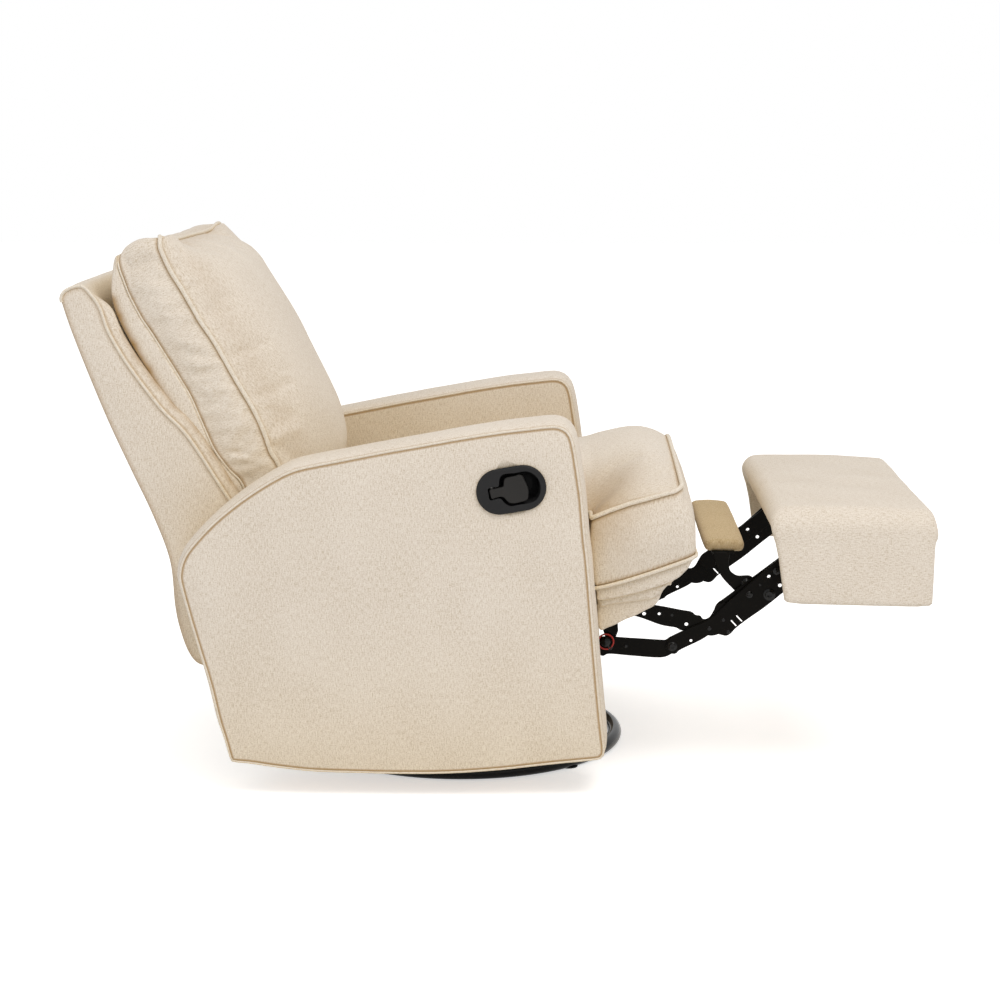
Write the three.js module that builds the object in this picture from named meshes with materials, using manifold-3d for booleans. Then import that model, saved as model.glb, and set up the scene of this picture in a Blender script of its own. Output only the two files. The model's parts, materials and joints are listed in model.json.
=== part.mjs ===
// Swivel glider recliner, upholstered, shown with its footrest out.
// Millimetres. +X is the way the sitter faces, +Y the sitter's left, +Z up.
// The model is worked out round the swivel's upright axis and then stood on its own box's bottom centre.
import * as THREE from "three";
import { mergeVertices } from "three/addons/utils/BufferGeometryUtils.js";
import Module from "manifold-3d";

const wasm = await Module();
wasm.setup();

// Shared clearances and counts
const gap = 0.3; // between pieces that touch
const overrun = 2; // how far a cut runs past the wall it cuts
const same_point = 1e-4; // corners closer than this are one corner
const round_sides = 20;
const small_sides = 12;
const cap_steps = 7; // corners in each round end of the handle's cup

// Base on the floor
const ring = { outer_radius: 284, tube_radius: 13, sides: 8, steps: 48 };
const glide = { count: 4, radius: 17, height: 4, pad_height: 1.5, stem_radius: 9 };
const cross = { arm_width: 46, thickness: 8, hub_radius: 96, hub_height: 7, lift: 9 };
const race = { inner_radius: 62, outer_radius: 92, thickness: 7, ball_radius: 5, groove_radius: 77 };
const hub_bore_radius = 24;

// Glider stand that turns on the base, and its four swinging links
const stand = { plate_length: 270, plate_thickness: 5, wall: 5, foot_length: 260, head_length: 226, pin_edge: 17 };
const swing = { half_span: 98, length: 118, width: 30, thickness: 6, pin_radius: 8, lower_pin_height: 97 };
const stand_half_width = 176;

// Side plates of the seat mechanism
const plate_inner_y = 213.4;
const steel = 4; // thickness of each mechanism plate and link
const cross_tube = { size: 24, wall: 2.5, forward_x: 112, rear_x: -165 };

// Arms: each one a hollow upholstered box round two plywood panels
const arm = { inner_y: 266, outer_y: 384, rear_x: -458, length: 718, bottom: 41, height: 593, wall: 12, soften: 6 };
const arm_panel = { thickness: 15, rail_height: 60 };

// Recessed release handle in the outside of the sitter's right arm
const handle = { behind_front: 165, below_top: 110, tilt_degrees: 10, length: 115, height: 75, flange: 3 };
const cup = { rim: 9, wall: 3, depth: 45 };
const paddle = { thickness: 8, tail_width: 20, head_height: 42, head_length: 42, set_back: 5 };
const paddle_pin = { radius: 3, from_end: 17, barrel_radius: 7 };
const cable = { radius: 3.5, from_cup_x: 6, drop_z: 330, forward: 77, plate_z: 250, bend: 30 };

// Seat: two rails and a deck that slope with it, a T-shaped cushion and the skirt under its nose
const seat = { rear_x: -238, side_room: 4, slope_degrees: 7.4, front_height: 345.6 };
const nose = { half_width: 315, length: 163, arm_room: 0.822, over_deck: 1, lift: 55, skirt_inset: 3 };
const seat_side = { rear_z: 405, nose_z: 467, front_z: 518 };
const seat_crown = { rear_z: 425, nose_z: 560, front_z: 574 };
const deck = { thickness: 16, short_of_seat: 14.8, side_room: 5, behind_nose: 7 };
const rail = { width: 40, height: 32, set_back: 36 };
const ear = { link_room: 8.7, width: 52 };
const skirt = { depth: 82 };

// Back: plywood wings, rails and a slab inside a fabric cover, on two steel brackets
const back = { behind_hinge: 400, length: 340, bottom: 195, height: 646, side_room: 6, wall: 12 };
const back_cushion = { side_room: 16, above_bottom: 273, height: 461, depth: 374, slab_depth: 67, slab_inset: 3 };
const hinge = { behind_seat: 24, z: 292, nose_radius: 20 };
const back_bracket = { behind_hinge: 90, below_hinge: 16, length: 108, height: 160 };

// Footrest linkage, with the footrest out
const link_width = { narrow: 26, wide: 46, strap: 17 };
const main_pivot = { from_nose_x: 22, z: 290 };
const to_pivot_a = { x: -63, z: -67 }; // these places are all counted from the main pivot, C
const to_joint_ab = { x: 108, z: -67 };
const to_joint_bc = { x: 176, z: -31 };
const to_joint_cd = { x: 193, z: -5 };
const to_joint_bf = { x: 325, z: 82 };
const first_light_hole = { x: -50, z: -20 }; // holes in link B, from the footrest joint
const second_light_hole = { x: -34, z: -36 };
const rivet = { radius: 7, height: 3 };
const hole_radius = 4;
const washer = { from_pivot: 63, radius: 14, bore_radius: 9, thickness: 3 };

// Footrest and calf pad
const footrest = { behind_joint: 58, length: 276, half_width: 315, over_joint: 108, height: 160 };
const footrest_pad = { flap: 18, soft: 42, edge_drop: 22 };
const footrest_board = { thickness: 15, inset: 8 };
const calf = { offset_x: 8, over: 108, length: 60, thickness: 20, half_width: 200, lean_degrees: 9 };
const calf_bracket = { inner_y: 182, width: 24 };

const radians = degrees => (degrees * Math.PI) / 180;
const colours = {
  linen: 0xe3d8c3, khaki: 0xb8a582, black_steel: 0x141414, ring_black: 0x0b0b0c,
  plywood: 0xc79a63, pine: 0xd3b07c, plastic: 0x1b1b1c, bright: 0x9a9a98, red: 0xc02a20,
};
const finish = (colour, roughness, metalness) =>
  new THREE.MeshStandardMaterial({ color: colour, roughness: roughness, metalness: metalness });
const linen = () => finish(colours.linen, 0.9, 0);
const black_steel = () => finish(colours.black_steel, 0.4, 0.6);
const plywood = () => finish(colours.plywood, 0.7, 0);
const pine = () => finish(colours.pine, 0.75, 0);

// Places that follow from the sizes above
const arm_front_share = 0.971; // where the arm's front edge stands at the height of the seat's nose
const nose_rear_x = arm.rear_x + arm.length * arm_front_share + nose.arm_room;
const seat_front_x = nose_rear_x + nose.length;
const slope_x = nose_rear_x - deck.behind_nose;
const slope_z = seat.front_height;
const handle_x = arm.rear_x + arm.length - handle.behind_front;
const handle_z = arm.bottom + arm.height - handle.below_top;
const cable_x = handle_x + cable.forward;
const pivot_c = { x: nose_rear_x + main_pivot.from_nose_x, z: main_pivot.z };
const from_c = place => ({ x: pivot_c.x + place.x, z: pivot_c.z + place.z });
const pivot_a = from_c(to_pivot_a);
const joint_ab = from_c(to_joint_ab);
const joint_bc = from_c(to_joint_bc);
const joint_cd = from_c(to_joint_cd);
const joint_bf = from_c(to_joint_bf);
const footrest_rear_x = joint_bf.x - footrest.behind_joint;
const footrest_front_x = footrest_rear_x + footrest.length;
const footrest_top = joint_bf.z + footrest.over_joint;
const footrest_bottom = footrest_top - footrest.height;
const calf_x = joint_cd.x + calf.offset_x;
const calf_z = joint_cd.z + calf.over;
const hinge_x = seat.rear_x - hinge.behind_seat;
const back_rear_x = hinge_x - back.behind_hinge;
const seat_half_width = arm.inner_y - seat.side_room;
const back_half_width = arm.inner_y - back.side_room;
const cushion_half_width = arm.inner_y - back_cushion.side_room;
const cushion_bottom = back.bottom + back_cushion.above_bottom;


// Small helpers: every solid is a closed mesh whose faces point out
function cleaned(geometry) {
  const plain = geometry.index ? geometry.toNonIndexed() : geometry;
  plain.deleteAttribute("normal");
  plain.deleteAttribute("uv");
  return mergeVertices(plain, same_point);
}

function outward(geometry) {
  const merged = cleaned(geometry);
  const place = merged.attributes.position;
  const faces = merged.index.array;
  let volume = 0;
  const corner = [new THREE.Vector3(), new THREE.Vector3(), new THREE.Vector3()];
  for (let face = 0; face < faces.length; face += 3) {
    corner.forEach((point, which) => point.fromBufferAttribute(place, faces[face + which]));
    volume += corner[0].dot(corner[1].clone().cross(corner[2]));
  }
  if (volume < 0) {
    for (let face = 0; face < faces.length; face += 3) {
      [faces[face + 1], faces[face + 2]] = [faces[face + 2], faces[face + 1]];
    }
  }
  return merged;
}

function solid(geometry) {
  const closed = outward(geometry);
  return new wasm.Manifold(new wasm.Mesh({
    numProp: 3,
    vertProperties: new Float32Array(closed.attributes.position.array),
    triVerts: new Uint32Array(closed.index.array),
  }));
}

function joined(...parts) {
  return parts.slice(1).reduce((whole, part) => whole.add(solid(part)), solid(parts[0]));
}

function geometry_of(shape) {
  const mesh = shape.getMesh();
  const geometry = new THREE.BufferGeometry();
  geometry.setAttribute("position", new THREE.BufferAttribute(new Float32Array(mesh.vertProperties), 3));
  geometry.setIndex(new THREE.BufferAttribute(new Uint32Array(mesh.triVerts), 1));
  return geometry;
}

const along = (from, to, share) => from + (to - from) * share;

// Points of an outline given as shares of a box
function traced(shares, box_x, box_z, length, height) {
  return shares.map(([across, up]) => new THREE.Vector2(box_x + across * length, box_z + up * height));
}

// The same outline drawn in by one distance
function drawn_in(points, distance) {
  const turn = THREE.ShapeUtils.area(points) > 0 ? 1 : -1;
  return points.map((point, index) => {
    const before = points[(index + points.length - 1) % points.length];
    const after = points[(index + 1) % points.length];
    const one = point.clone().sub(before).normalize();
    const two = after.clone().sub(point).normalize();
    const normal = new THREE.Vector2(-(one.y + two.y), one.x + two.x).normalize();
    const lean = Math.max(0.5, normal.dot(new THREE.Vector2(-one.y, one.x)));
    return point.clone().addScaledVector(normal, (turn * distance) / lean);
  });
}

// A flat plate whose outline lies in X and Z, from one Y to another
function plate(points, first_y, second_y, holes = [], soften = 0) {
  const low = Math.min(first_y, second_y);
  const high = Math.max(first_y, second_y);
  const shape = new THREE.Shape(THREE.ShapeUtils.area(points) < 0 ? [...points].reverse() : points);
  holes.forEach(hole => {
    const radius = hole.radius || hole_radius;
    shape.holes.push(new THREE.Path(Array.from({ length: small_sides }, (_, index) => {
      const angle = (-2 * Math.PI * index) / small_sides;
      return new THREE.Vector2(hole.x + radius * Math.cos(angle), hole.z + radius * Math.sin(angle));
    })));
  });
  const geometry = new THREE.ExtrudeGeometry(shape, {
    depth: high - low - 2 * soften, bevelEnabled: soften > 0,
    bevelSize: soften, bevelThickness: soften, bevelOffset: -soften, bevelSegments: 2,
  });
  geometry.rotateX(Math.PI / 2);
  geometry.translate(0, high - soften, 0);
  return geometry;
}

// A round bar that lies along Y
function pin_y(x, z, radius, first_y, second_y, sides = small_sides) {
  const bar = new THREE.CylinderGeometry(radius, radius, Math.abs(second_y - first_y), sides);
  return bar.translate(x, (first_y + second_y) / 2, z);
}

function block(x0, x1, y0, y1, z0, z1) {
  return new THREE.BoxGeometry(x1 - x0, y1 - y0, z1 - z0)
    .translate((x0 + x1) / 2, (y0 + y1) / 2, (z0 + z1) / 2);
}

// A ring or disc turned about the upright axis
function turned(profile, sides = round_sides) {
  const points = profile.map(([radius, height]) => new THREE.Vector2(radius, height));
  points.push(points[0].clone());
  return new THREE.LatheGeometry(points, sides).rotateX(Math.PI / 2);
}

// Outline of a bar with round ends that passes through a row of points, with a width at each
function bar_outline(stops, steps = 5) {
  const left = [];
  const right = [];
  stops.forEach((stop, index) => {
    const before = stops[Math.max(0, index - 1)];
    const after = stops[Math.min(stops.length - 1, index + 1)];
    const run = new THREE.Vector2(after.x - before.x, after.z - before.z).normalize();
    const side = new THREE.Vector2(-run.y, run.x).multiplyScalar(stop.width / 2);
    left.push(new THREE.Vector2(stop.x + side.x, stop.z + side.y));
    right.unshift(new THREE.Vector2(stop.x - side.x, stop.z - side.y));
  });
  const cap = (stop, start) => Array.from({ length: steps }, (_, index) => {
    const angle = start - (Math.PI * (index + 1)) / (steps + 1);
    return new THREE.Vector2(stop.x + (stop.width / 2) * Math.cos(angle), stop.z + (stop.width / 2) * Math.sin(angle));
  });
  const last = stops[stops.length - 1];
  const ahead = Math.atan2(last.z - stops[stops.length - 2].z, last.x - stops[stops.length - 2].x);
  const behind = Math.atan2(stops[0].z - stops[1].z, stops[0].x - stops[1].x);
  return [...left, ...cap(last, ahead + Math.PI / 2), ...right, ...cap(stops[0], behind + Math.PI / 2)];
}

// A skin through a row of rings, closed at both ends
function lofted(rings) {
  const count = rings[0].length;
  const points = rings.flat();
  const faces = [];
  for (let row = 0; row + 1 < rings.length; row += 1) {
    for (let step = 0; step < count; step += 1) {
      const next = (step + 1) % count;
      const a = row * count + step;
      const b = row * count + next;
      faces.push(a, b, b + count, a, b + count, a + count);
    }
  }
  [0, rings.length - 1].forEach((row, end) => {
    const middle = rings[row].reduce((sum, point) => sum.add(point), new THREE.Vector3()).divideScalar(count);
    points.push(middle);
    for (let step = 0; step < count; step += 1) {
      const pair = [row * count + step, row * count + ((step + 1) % count)];
      faces.push(points.length - 1, ...(end ? pair : pair.reverse()));
    }
  });
  const geometry = new THREE.BufferGeometry().setFromPoints(points);
  geometry.setIndex(faces);
  return geometry;
}

// A tube along a curve
function tube(points, radius, steps, sides = 8) {
  const section = new THREE.Shape(Array.from({ length: sides }, (_, index) => new THREE.Vector2(
    radius * Math.cos((2 * Math.PI * index) / sides), radius * Math.sin((2 * Math.PI * index) / sides))));
  const path = new THREE.CatmullRomCurve3(points, false, "centripetal");
  return new THREE.ExtrudeGeometry(section, { steps: steps, bevelEnabled: false, extrudePath: path });
}

const chair = new THREE.Group();

function pivot(name, parent, x, z) {
  const group = new THREE.Group();
  group.name = name;
  group.position.set(x - (parent.userData.x || 0), 0, z - (parent.userData.z || 0));
  group.userData = { x: x, z: z };
  parent.add(group);
  return group;
}

// Each mesh keeps its points round its group's pivot
function put(parent, name, geometry, material) {
  const closed = outward(geometry.getMesh ? geometry_of(geometry) : geometry);
  closed.translate(-(parent.userData.x || 0), 0, -(parent.userData.z || 0));
  const mesh = new THREE.Mesh(closed, material);
  mesh.name = name;
  parent.add(mesh);
  return mesh;
}

const sides = [["right", -1], ["left", 1]];

// Base ring, its glides, the crossed legs and the lower half of the swivel
const base = pivot("base", chair, 0, 0);
const ring_centre_radius = ring.outer_radius - ring.tube_radius;
const ring_centre_z = glide.height + ring.tube_radius;
put(base, "base_ring", new THREE.TorusGeometry(ring_centre_radius, ring.tube_radius, ring.sides, ring.steps)
  .translate(0, 0, ring_centre_z), finish(colours.ring_black, 0.2, 0.5));

for (let index = 0; index < glide.count; index += 1) {
  const angle = (2 * Math.PI * (index + 0.5)) / glide.count;
  const x = ring_centre_radius * Math.cos(angle);
  const y = ring_centre_radius * Math.sin(angle);
  const pad = turned([[0, 0], [glide.radius, 0], [glide.radius, glide.pad_height],
    [glide.stem_radius, glide.height - gap], [0, glide.height - gap]]);
  put(base, `base_glide_${index + 1}`, pad.translate(x, y, 0), finish(colours.plastic, 0.6, 0));
}

const cross_low = glide.height + cross.lift;
const cross_top = cross_low + cross.thickness;
const ring_hole_radius = (ring_centre_radius - ring.tube_radius) * Math.cos(Math.PI / ring.steps);
const cross_reach = Math.sqrt(ring_hole_radius ** 2 - (cross.arm_width / 2) ** 2) - gap;
const leg = angle => block(-cross_reach, cross_reach, -cross.arm_width / 2, cross.arm_width / 2, cross_low, cross_top)
  .rotateZ(angle);
const hub_top = cross_top + cross.hub_height;
const hub = turned([[hub_bore_radius, cross_low], [cross.hub_radius, cross_low], [cross.hub_radius, hub_top],
  [hub_bore_radius, hub_top]]);
const hub_bore = turned([[0, cross_low - overrun], [hub_bore_radius, cross_low - overrun],
  [hub_bore_radius, hub_top + overrun], [0, hub_top + overrun]]);
put(base, "base_cross", joined(leg(Math.PI / 4), leg(-Math.PI / 4), hub).subtract(solid(hub_bore)), black_steel());

const race_profile = low => [[race.inner_radius, low], [race.outer_radius, low],
  [race.outer_radius, low + race.thickness], [race.inner_radius, low + race.thickness]];
const lower_race_z = hub_top + gap;
put(base, "swivel_lower_race", turned(race_profile(lower_race_z)), finish(colours.bright, 0.35, 0.9));

// The turning stand
const swivel = pivot("swivel", chair, 0, 0);
const ball_z = lower_race_z + race.thickness + gap + race.ball_radius;
put(swivel, "swivel_ball_ring", new THREE.TorusGeometry(race.groove_radius, race.ball_radius, 6, 28)
  .translate(0, 0, ball_z), finish(colours.bright, 0.3, 0.9));
const upper_race_z = ball_z + race.ball_radius + gap;
put(swivel, "swivel_upper_race", turned(race_profile(upper_race_z)), finish(colours.bright, 0.35, 0.9));

const stand_low = upper_race_z + race.thickness + gap;
const upper_pin_z = swing.lower_pin_height + swing.length;
const stand_top = upper_pin_z + stand.pin_edge;
const upright = [
  new THREE.Vector2(-stand.foot_length / 2, stand_low), new THREE.Vector2(stand.foot_length / 2, stand_low),
  new THREE.Vector2(stand.head_length / 2, stand_top), new THREE.Vector2(-stand.head_length / 2, stand_top),
];
const stand_floor = block(-stand.plate_length / 2, stand.plate_length / 2,
  -stand_half_width - stand.wall / 2, stand_half_width + stand.wall / 2, stand_low, stand_low + stand.plate_thickness);
const stand_walls = sides.map(([, side]) =>
  plate(upright, side * stand_half_width, side * (stand_half_width + stand.wall)));
put(swivel, "glider_stand", joined(stand_floor, ...stand_walls), black_steel());

// Links that hang from the stand and carry the seat mechanism
const stand_face_y = stand_half_width + stand.wall;
const swing_middle_y = (stand_face_y + plate_inner_y) / 2;
const hung = [["front", 1], ["rear", -1]].map(([place, way]) => {
  const group = pivot(`${place}_swing`, swivel, way * swing.half_span, upper_pin_z);
  sides.forEach(([word, side]) => {
    const x = way * swing.half_span;
    const stops = [upper_pin_z, swing.lower_pin_height].map(height => ({ x: x, z: height, width: swing.width }));
    const near = side * (swing_middle_y - swing.thickness / 2);
    const far = side * (swing_middle_y + swing.thickness / 2);
    const upper = pin_y(x, upper_pin_z, swing.pin_radius, side * (stand_face_y + gap), far);
    const lower = pin_y(x, swing.lower_pin_height, swing.pin_radius, near, side * (plate_inner_y - gap));
    const bar = plate(bar_outline(stops), near, far);
    put(group, `${place}_swing_link_${word}`, joined(bar, upper, lower), black_steel());
  });
  return group;
});

// Everything that glides hangs from the front links
const carriage = pivot("carriage", hung[0], swing.half_span, swing.lower_pin_height);
const slope = radians(seat.slope_degrees);
const seat_line = x => slope_z - (slope_x - x) * Math.tan(slope);
const rail_low = x => seat_line(x) - (deck.thickness + rail.height + 3 * gap) / Math.cos(slope) - gap;
const plate_outer_y = plate_inner_y + steel;
const lug_radius = swing.width * 0.62;
const plate_bottom = swing.lower_pin_height - lug_radius;
const side_plate_points = [
  [hinge_x - hinge.nose_radius, hinge.z], [hinge_x - hinge.nose_radius * 0.7, hinge.z - hinge.nose_radius * 1.2],
  [-swing.half_span - lug_radius * 2, swing.lower_pin_height + lug_radius * 2],
  [-swing.half_span - lug_radius, plate_bottom], [-swing.half_span + lug_radius, plate_bottom],
  [-swing.half_span / 2, swing.lower_pin_height + lug_radius],
  [swing.half_span / 2, swing.lower_pin_height + lug_radius],
  [swing.half_span - lug_radius, plate_bottom], [swing.half_span + lug_radius, plate_bottom],
  [pivot_a.x, pivot_a.z - link_width.narrow], [pivot_a.x + link_width.narrow * 0.8, pivot_a.z],
  [pivot_a.x + link_width.narrow * 0.9, rail_low(pivot_a.x) - link_width.narrow],
  [pivot_c.x + link_width.narrow * 0.3, pivot_c.z - link_width.narrow * 0.62],
  [pivot_c.x + link_width.narrow * 0.66, pivot_c.z],
  [pivot_c.x + link_width.narrow * 0.3, pivot_c.z + link_width.narrow * 0.62],
  [pivot_c.x - link_width.narrow * 0.5, pivot_c.z + link_width.narrow * 0.5],
  [pivot_a.x, rail_low(pivot_a.x)], [hinge_x + hinge.nose_radius * 2, rail_low(hinge_x + hinge.nose_radius * 2)],
  [hinge_x + hinge.nose_radius * 0.9, hinge.z + hinge.nose_radius * 0.4], [hinge_x, hinge.z + hinge.nose_radius],
].map(([x, z]) => new THREE.Vector2(x, z));
sides.forEach(([word, side]) => {
  put(carriage, `side_plate_${word}`, plate(side_plate_points, side * plate_inner_y, side * plate_outer_y),
    black_steel());
});
[["front", cross_tube.forward_x], ["rear", cross_tube.rear_x]].forEach(([place, x]) => {
  const reach = plate_inner_y - gap;
  const z = rail_low(x) - cross_tube.size;
  const outer = block(x - cross_tube.size / 2, x + cross_tube.size / 2, -reach, reach,
    z - cross_tube.size / 2, z + cross_tube.size / 2);
  const bore = cross_tube.size / 2 - cross_tube.wall;
  const inner = block(x - bore, x + bore, -reach - overrun, reach + overrun, z - bore, z + bore);
  put(carriage, `${place}_cross_tube`, solid(outer).subtract(solid(inner)), black_steel());
});

// Arms
const arm_outline_shares = [
  [0.102, 0.049], [0.114, 0.035], [0.184, 0.017], [0.277, 0.007], [0.394, 0.002],
  [0.522, 0.000], [0.628, 0.003], [0.745, 0.012], [0.861, 0.027], [0.986, 0.046],
  [1.000, 0.059], [0.994, 0.194], [0.982, 0.341], [0.971, 0.486], [0.958, 0.639],
  [0.948, 0.771], [0.944, 0.857], [0.935, 0.912], [0.915, 0.963], [0.893, 0.990],
  [0.854, 1.000], [0.742, 0.988], [0.627, 0.961], [0.510, 0.938], [0.394, 0.912],
  [0.277, 0.874], [0.206, 0.833], [0.149, 0.788], [0.088, 0.732], [0.039, 0.669],
  [0.008, 0.616], [0.000, 0.560], [0.006, 0.497], [0.019, 0.406], [0.042, 0.302],
  [0.067, 0.187], [0.092, 0.086],
];
const arm_outline = traced(arm_outline_shares, arm.rear_x, arm.bottom, arm.length, arm.height);
const arm_cavity = drawn_in(arm_outline, arm.wall);
const arm_floor_low = arm.bottom - overrun;
const open_bottom = block(arm.rear_x + arm.length * 0.13, arm.rear_x + arm.length * 0.97,
  arm.inner_y + arm.wall, arm.outer_y - arm.wall, arm_floor_low, arm.bottom + arm.height * 0.09);
const panel_outline = drawn_in(arm_outline, arm.wall + gap);
const handle_tilt = radians(handle.tilt_degrees);

// A stadium in the handle's own leaning frame, as a plate from one Y to another
function handle_stadium(length, height, first_y, second_y) {
  const run = (length - height) / 2;
  const ends = [-run, run].map(offset => ({
    x: handle_x + offset * Math.cos(handle_tilt), z: handle_z + offset * Math.sin(handle_tilt), width: height,
  }));
  return plate(bar_outline(ends, cap_steps), first_y, second_y);
}

const pocket_length = handle.length - 2 * cup.rim;
const pocket_height = handle.height - 2 * cup.rim;
const cup_body = [pocket_length + 2 * cup.wall, pocket_height + 2 * cup.wall];
const cup_hole = handle_stadium(cup_body[0] + 2 * gap, cup_body[1] + 2 * gap, -arm.outer_y - overrun,
  -arm.inner_y - arm.wall * 3);
const cup_seat = handle_stadium(handle.length + 2 * gap, handle.height + 2 * gap, -arm.outer_y - overrun,
  -arm.outer_y + handle.flange + gap);
const cable_hole = pin_y(cable_x, cable.plate_z, cable.radius * 2, -plate_outer_y, -arm.outer_y + arm.wall * 3);

sides.forEach(([word, side]) => {
  const cover = solid(plate(arm_outline, side * arm.inner_y, side * arm.outer_y, [], arm.soften));
  const cavity = solid(plate(arm_cavity, side * (arm.inner_y + arm.wall), side * (arm.outer_y - arm.wall)));
  const bottom = side > 0 ? open_bottom : open_bottom.clone().scale(1, -1, 1);
  let shell = cover.subtract(cavity).subtract(solid(bottom));
  const outer_low = arm.outer_y - arm.wall - gap;
  let outer_panel = solid(plate(panel_outline, side * (outer_low - arm_panel.thickness), side * outer_low));
  const inner_low = arm.inner_y + arm.wall + gap;
  let inner_panel = solid(plate(panel_outline, side * inner_low, side * (inner_low + arm_panel.thickness)));
  if (side < 0) {
    shell = shell.subtract(solid(cup_hole)).subtract(solid(cup_seat)).subtract(solid(cable_hole));
    outer_panel = outer_panel.subtract(solid(cup_hole));
    inner_panel = inner_panel.subtract(solid(cable_hole));
  }
  put(carriage, `arm_cover_${word}`, shell, linen());
  put(carriage, `arm_outer_panel_${word}`, outer_panel, plywood());
  put(carriage, `arm_inner_panel_${word}`, inner_panel, plywood());
  const rail_inner = side * (inner_low + arm_panel.thickness + gap);
  const rail_outer = side * (outer_low - arm_panel.thickness - gap);
  const base_z = arm.bottom + arm.wall + 2 * gap;
  const stretch = [arm.rear_x + arm.length * 0.2, arm.rear_x + arm.length * 0.86];
  put(carriage, `arm_bottom_rail_${word}`, block(stretch[0], stretch[1], Math.min(rail_inner, rail_outer),
    Math.max(rail_inner, rail_outer), base_z, base_z + arm_panel.rail_height), pine());
});

// Release handle
const flange = handle_stadium(handle.length, handle.height, -arm.outer_y, -arm.outer_y + handle.flange);
const cup_back_y = -arm.outer_y + cup.depth;
const body_of_cup = handle_stadium(cup_body[0], cup_body[1], -arm.outer_y + handle.flange / 2, cup_back_y);
const pocket = handle_stadium(pocket_length, pocket_height, -arm.outer_y - overrun, cup_back_y - cup.wall);
put(carriage, "handle_cup", joined(flange, body_of_cup).subtract(solid(pocket)), finish(colours.plastic, 0.45, 0));

const in_handle = (across, up) => new THREE.Vector2(
  handle_x + across * Math.cos(handle_tilt) - up * Math.sin(handle_tilt),
  handle_z + across * Math.sin(handle_tilt) + up * Math.cos(handle_tilt));
const pin_across = -pocket_length / 2 + paddle_pin.from_end;
const pin_place = in_handle(pin_across, 0);
const paddle_front_y = -arm.outer_y + paddle.set_back;
const paddle_middle_y = paddle_front_y + paddle.thickness / 2;
const upright_pin = (radius, length) => new THREE.CylinderGeometry(radius, radius, length, small_sides)
  .rotateX(Math.PI / 2).rotateY(-handle_tilt).translate(pin_place.x, paddle_middle_y, pin_place.y);
const pocket_radius = pocket_height / 2;
const pin_room = Math.sqrt(pocket_radius ** 2 - (pocket_radius - paddle_pin.from_end + paddle_pin.radius) ** 2);
const pin_length = 2 * (pin_room * Math.cos(Math.PI / (2 * (cap_steps + 1))) - gap);
put(carriage, "paddle_pin", upright_pin(paddle_pin.radius, pin_length), finish(colours.bright, 0.3, 0.9));

const release = pivot("release", carriage, pin_place.x, pin_place.y);
const tail_end = pin_across - paddle_pin.barrel_radius * 0.5;
const head_start = -paddle.head_length * 0.32;
const head_end = head_start + paddle.head_length;
const paddle_points = [
  [tail_end, -paddle.tail_width / 2], [head_start, -paddle.tail_width / 2],
  [head_start, -paddle.head_height * 0.36], [head_start + paddle.head_length * 0.18, -paddle.head_height / 2],
  [head_end - paddle.head_length * 0.2, -paddle.head_height / 2], [head_end, -paddle.head_height * 0.25],
  [head_end, paddle.head_height * 0.25], [head_end - paddle.head_length * 0.2, paddle.head_height / 2],
  [head_start + paddle.head_length * 0.18, paddle.head_height / 2], [head_start, paddle.head_height * 0.36],
  [head_start, paddle.tail_width / 2], [tail_end, paddle.tail_width / 2],
].map(([across, up]) => in_handle(across, up));
const paddle_body = plate(paddle_points, paddle_front_y, paddle_front_y + paddle.thickness, [], paddle.thickness * 0.2);
const barrel = upright_pin(paddle_pin.barrel_radius, paddle.tail_width);
put(release, "release_paddle", joined(paddle_body, barrel)
  .subtract(solid(upright_pin(paddle_pin.radius + gap, pocket_height))), finish(colours.plastic, 0.4, 0));

// The cable runs inside the arm from under the cup to the side plate
const cable_start = in_handle(cable.from_cup_x, -cup_body[1] / 2);
const cable_y = cup_back_y - cable.radius * 2.5;
const cable_route = [
  new THREE.Vector3(cable_start.x, cable_y, cable_start.y - cable.radius),
  new THREE.Vector3(cable_start.x + cable.bend * 0.1, cable_y, cable_start.y - cable.bend),
  new THREE.Vector3(along(cable_start.x, cable_x, 0.4), cable_y + cable.radius, cable.drop_z),
  new THREE.Vector3(cable_x, along(cable_y, -arm.inner_y, 0.3), cable.plate_z + cable.bend * 0.6),
  new THREE.Vector3(cable_x, -arm.inner_y - arm.wall - arm_panel.thickness, cable.plate_z),
  new THREE.Vector3(cable_x, -arm.inner_y, cable.plate_z),
  new THREE.Vector3(cable_x, -plate_outer_y - gap, cable.plate_z),
];
put(carriage, "release_cable", tube(cable_route, cable.radius, 40), finish(colours.plastic, 0.6, 0));

// Seat rails and deck, in a group that slopes with the seat
const seat_frame = pivot("seat_frame", carriage, slope_x, slope_z);
seat_frame.rotation.y = -slope;
function put_sloped(name, x0, x1, half, z0, z1, material) {
  const mesh = new THREE.Mesh(outward(block(x0, x1, -half, half, z0, z1)), material);
  mesh.name = name;
  seat_frame.add(mesh);
}
const arm_reach = arm.inner_y - gap;
const deck_length = (slope_x - seat.rear_x - deck.short_of_seat) / Math.cos(slope);
put_sloped("seat_deck", -deck_length, -gap, arm.inner_y - deck.side_room, -gap - deck.thickness, -gap, plywood());
[["front", rail.set_back], ["rear", deck_length - rail.width]].forEach(([place, back_off]) => {
  const top = -deck.thickness - 2 * gap;
  put_sloped(`seat_${place}_rail`, -back_off - rail.width, -back_off, arm_reach, top - rail.height, top, pine());
});

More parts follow.
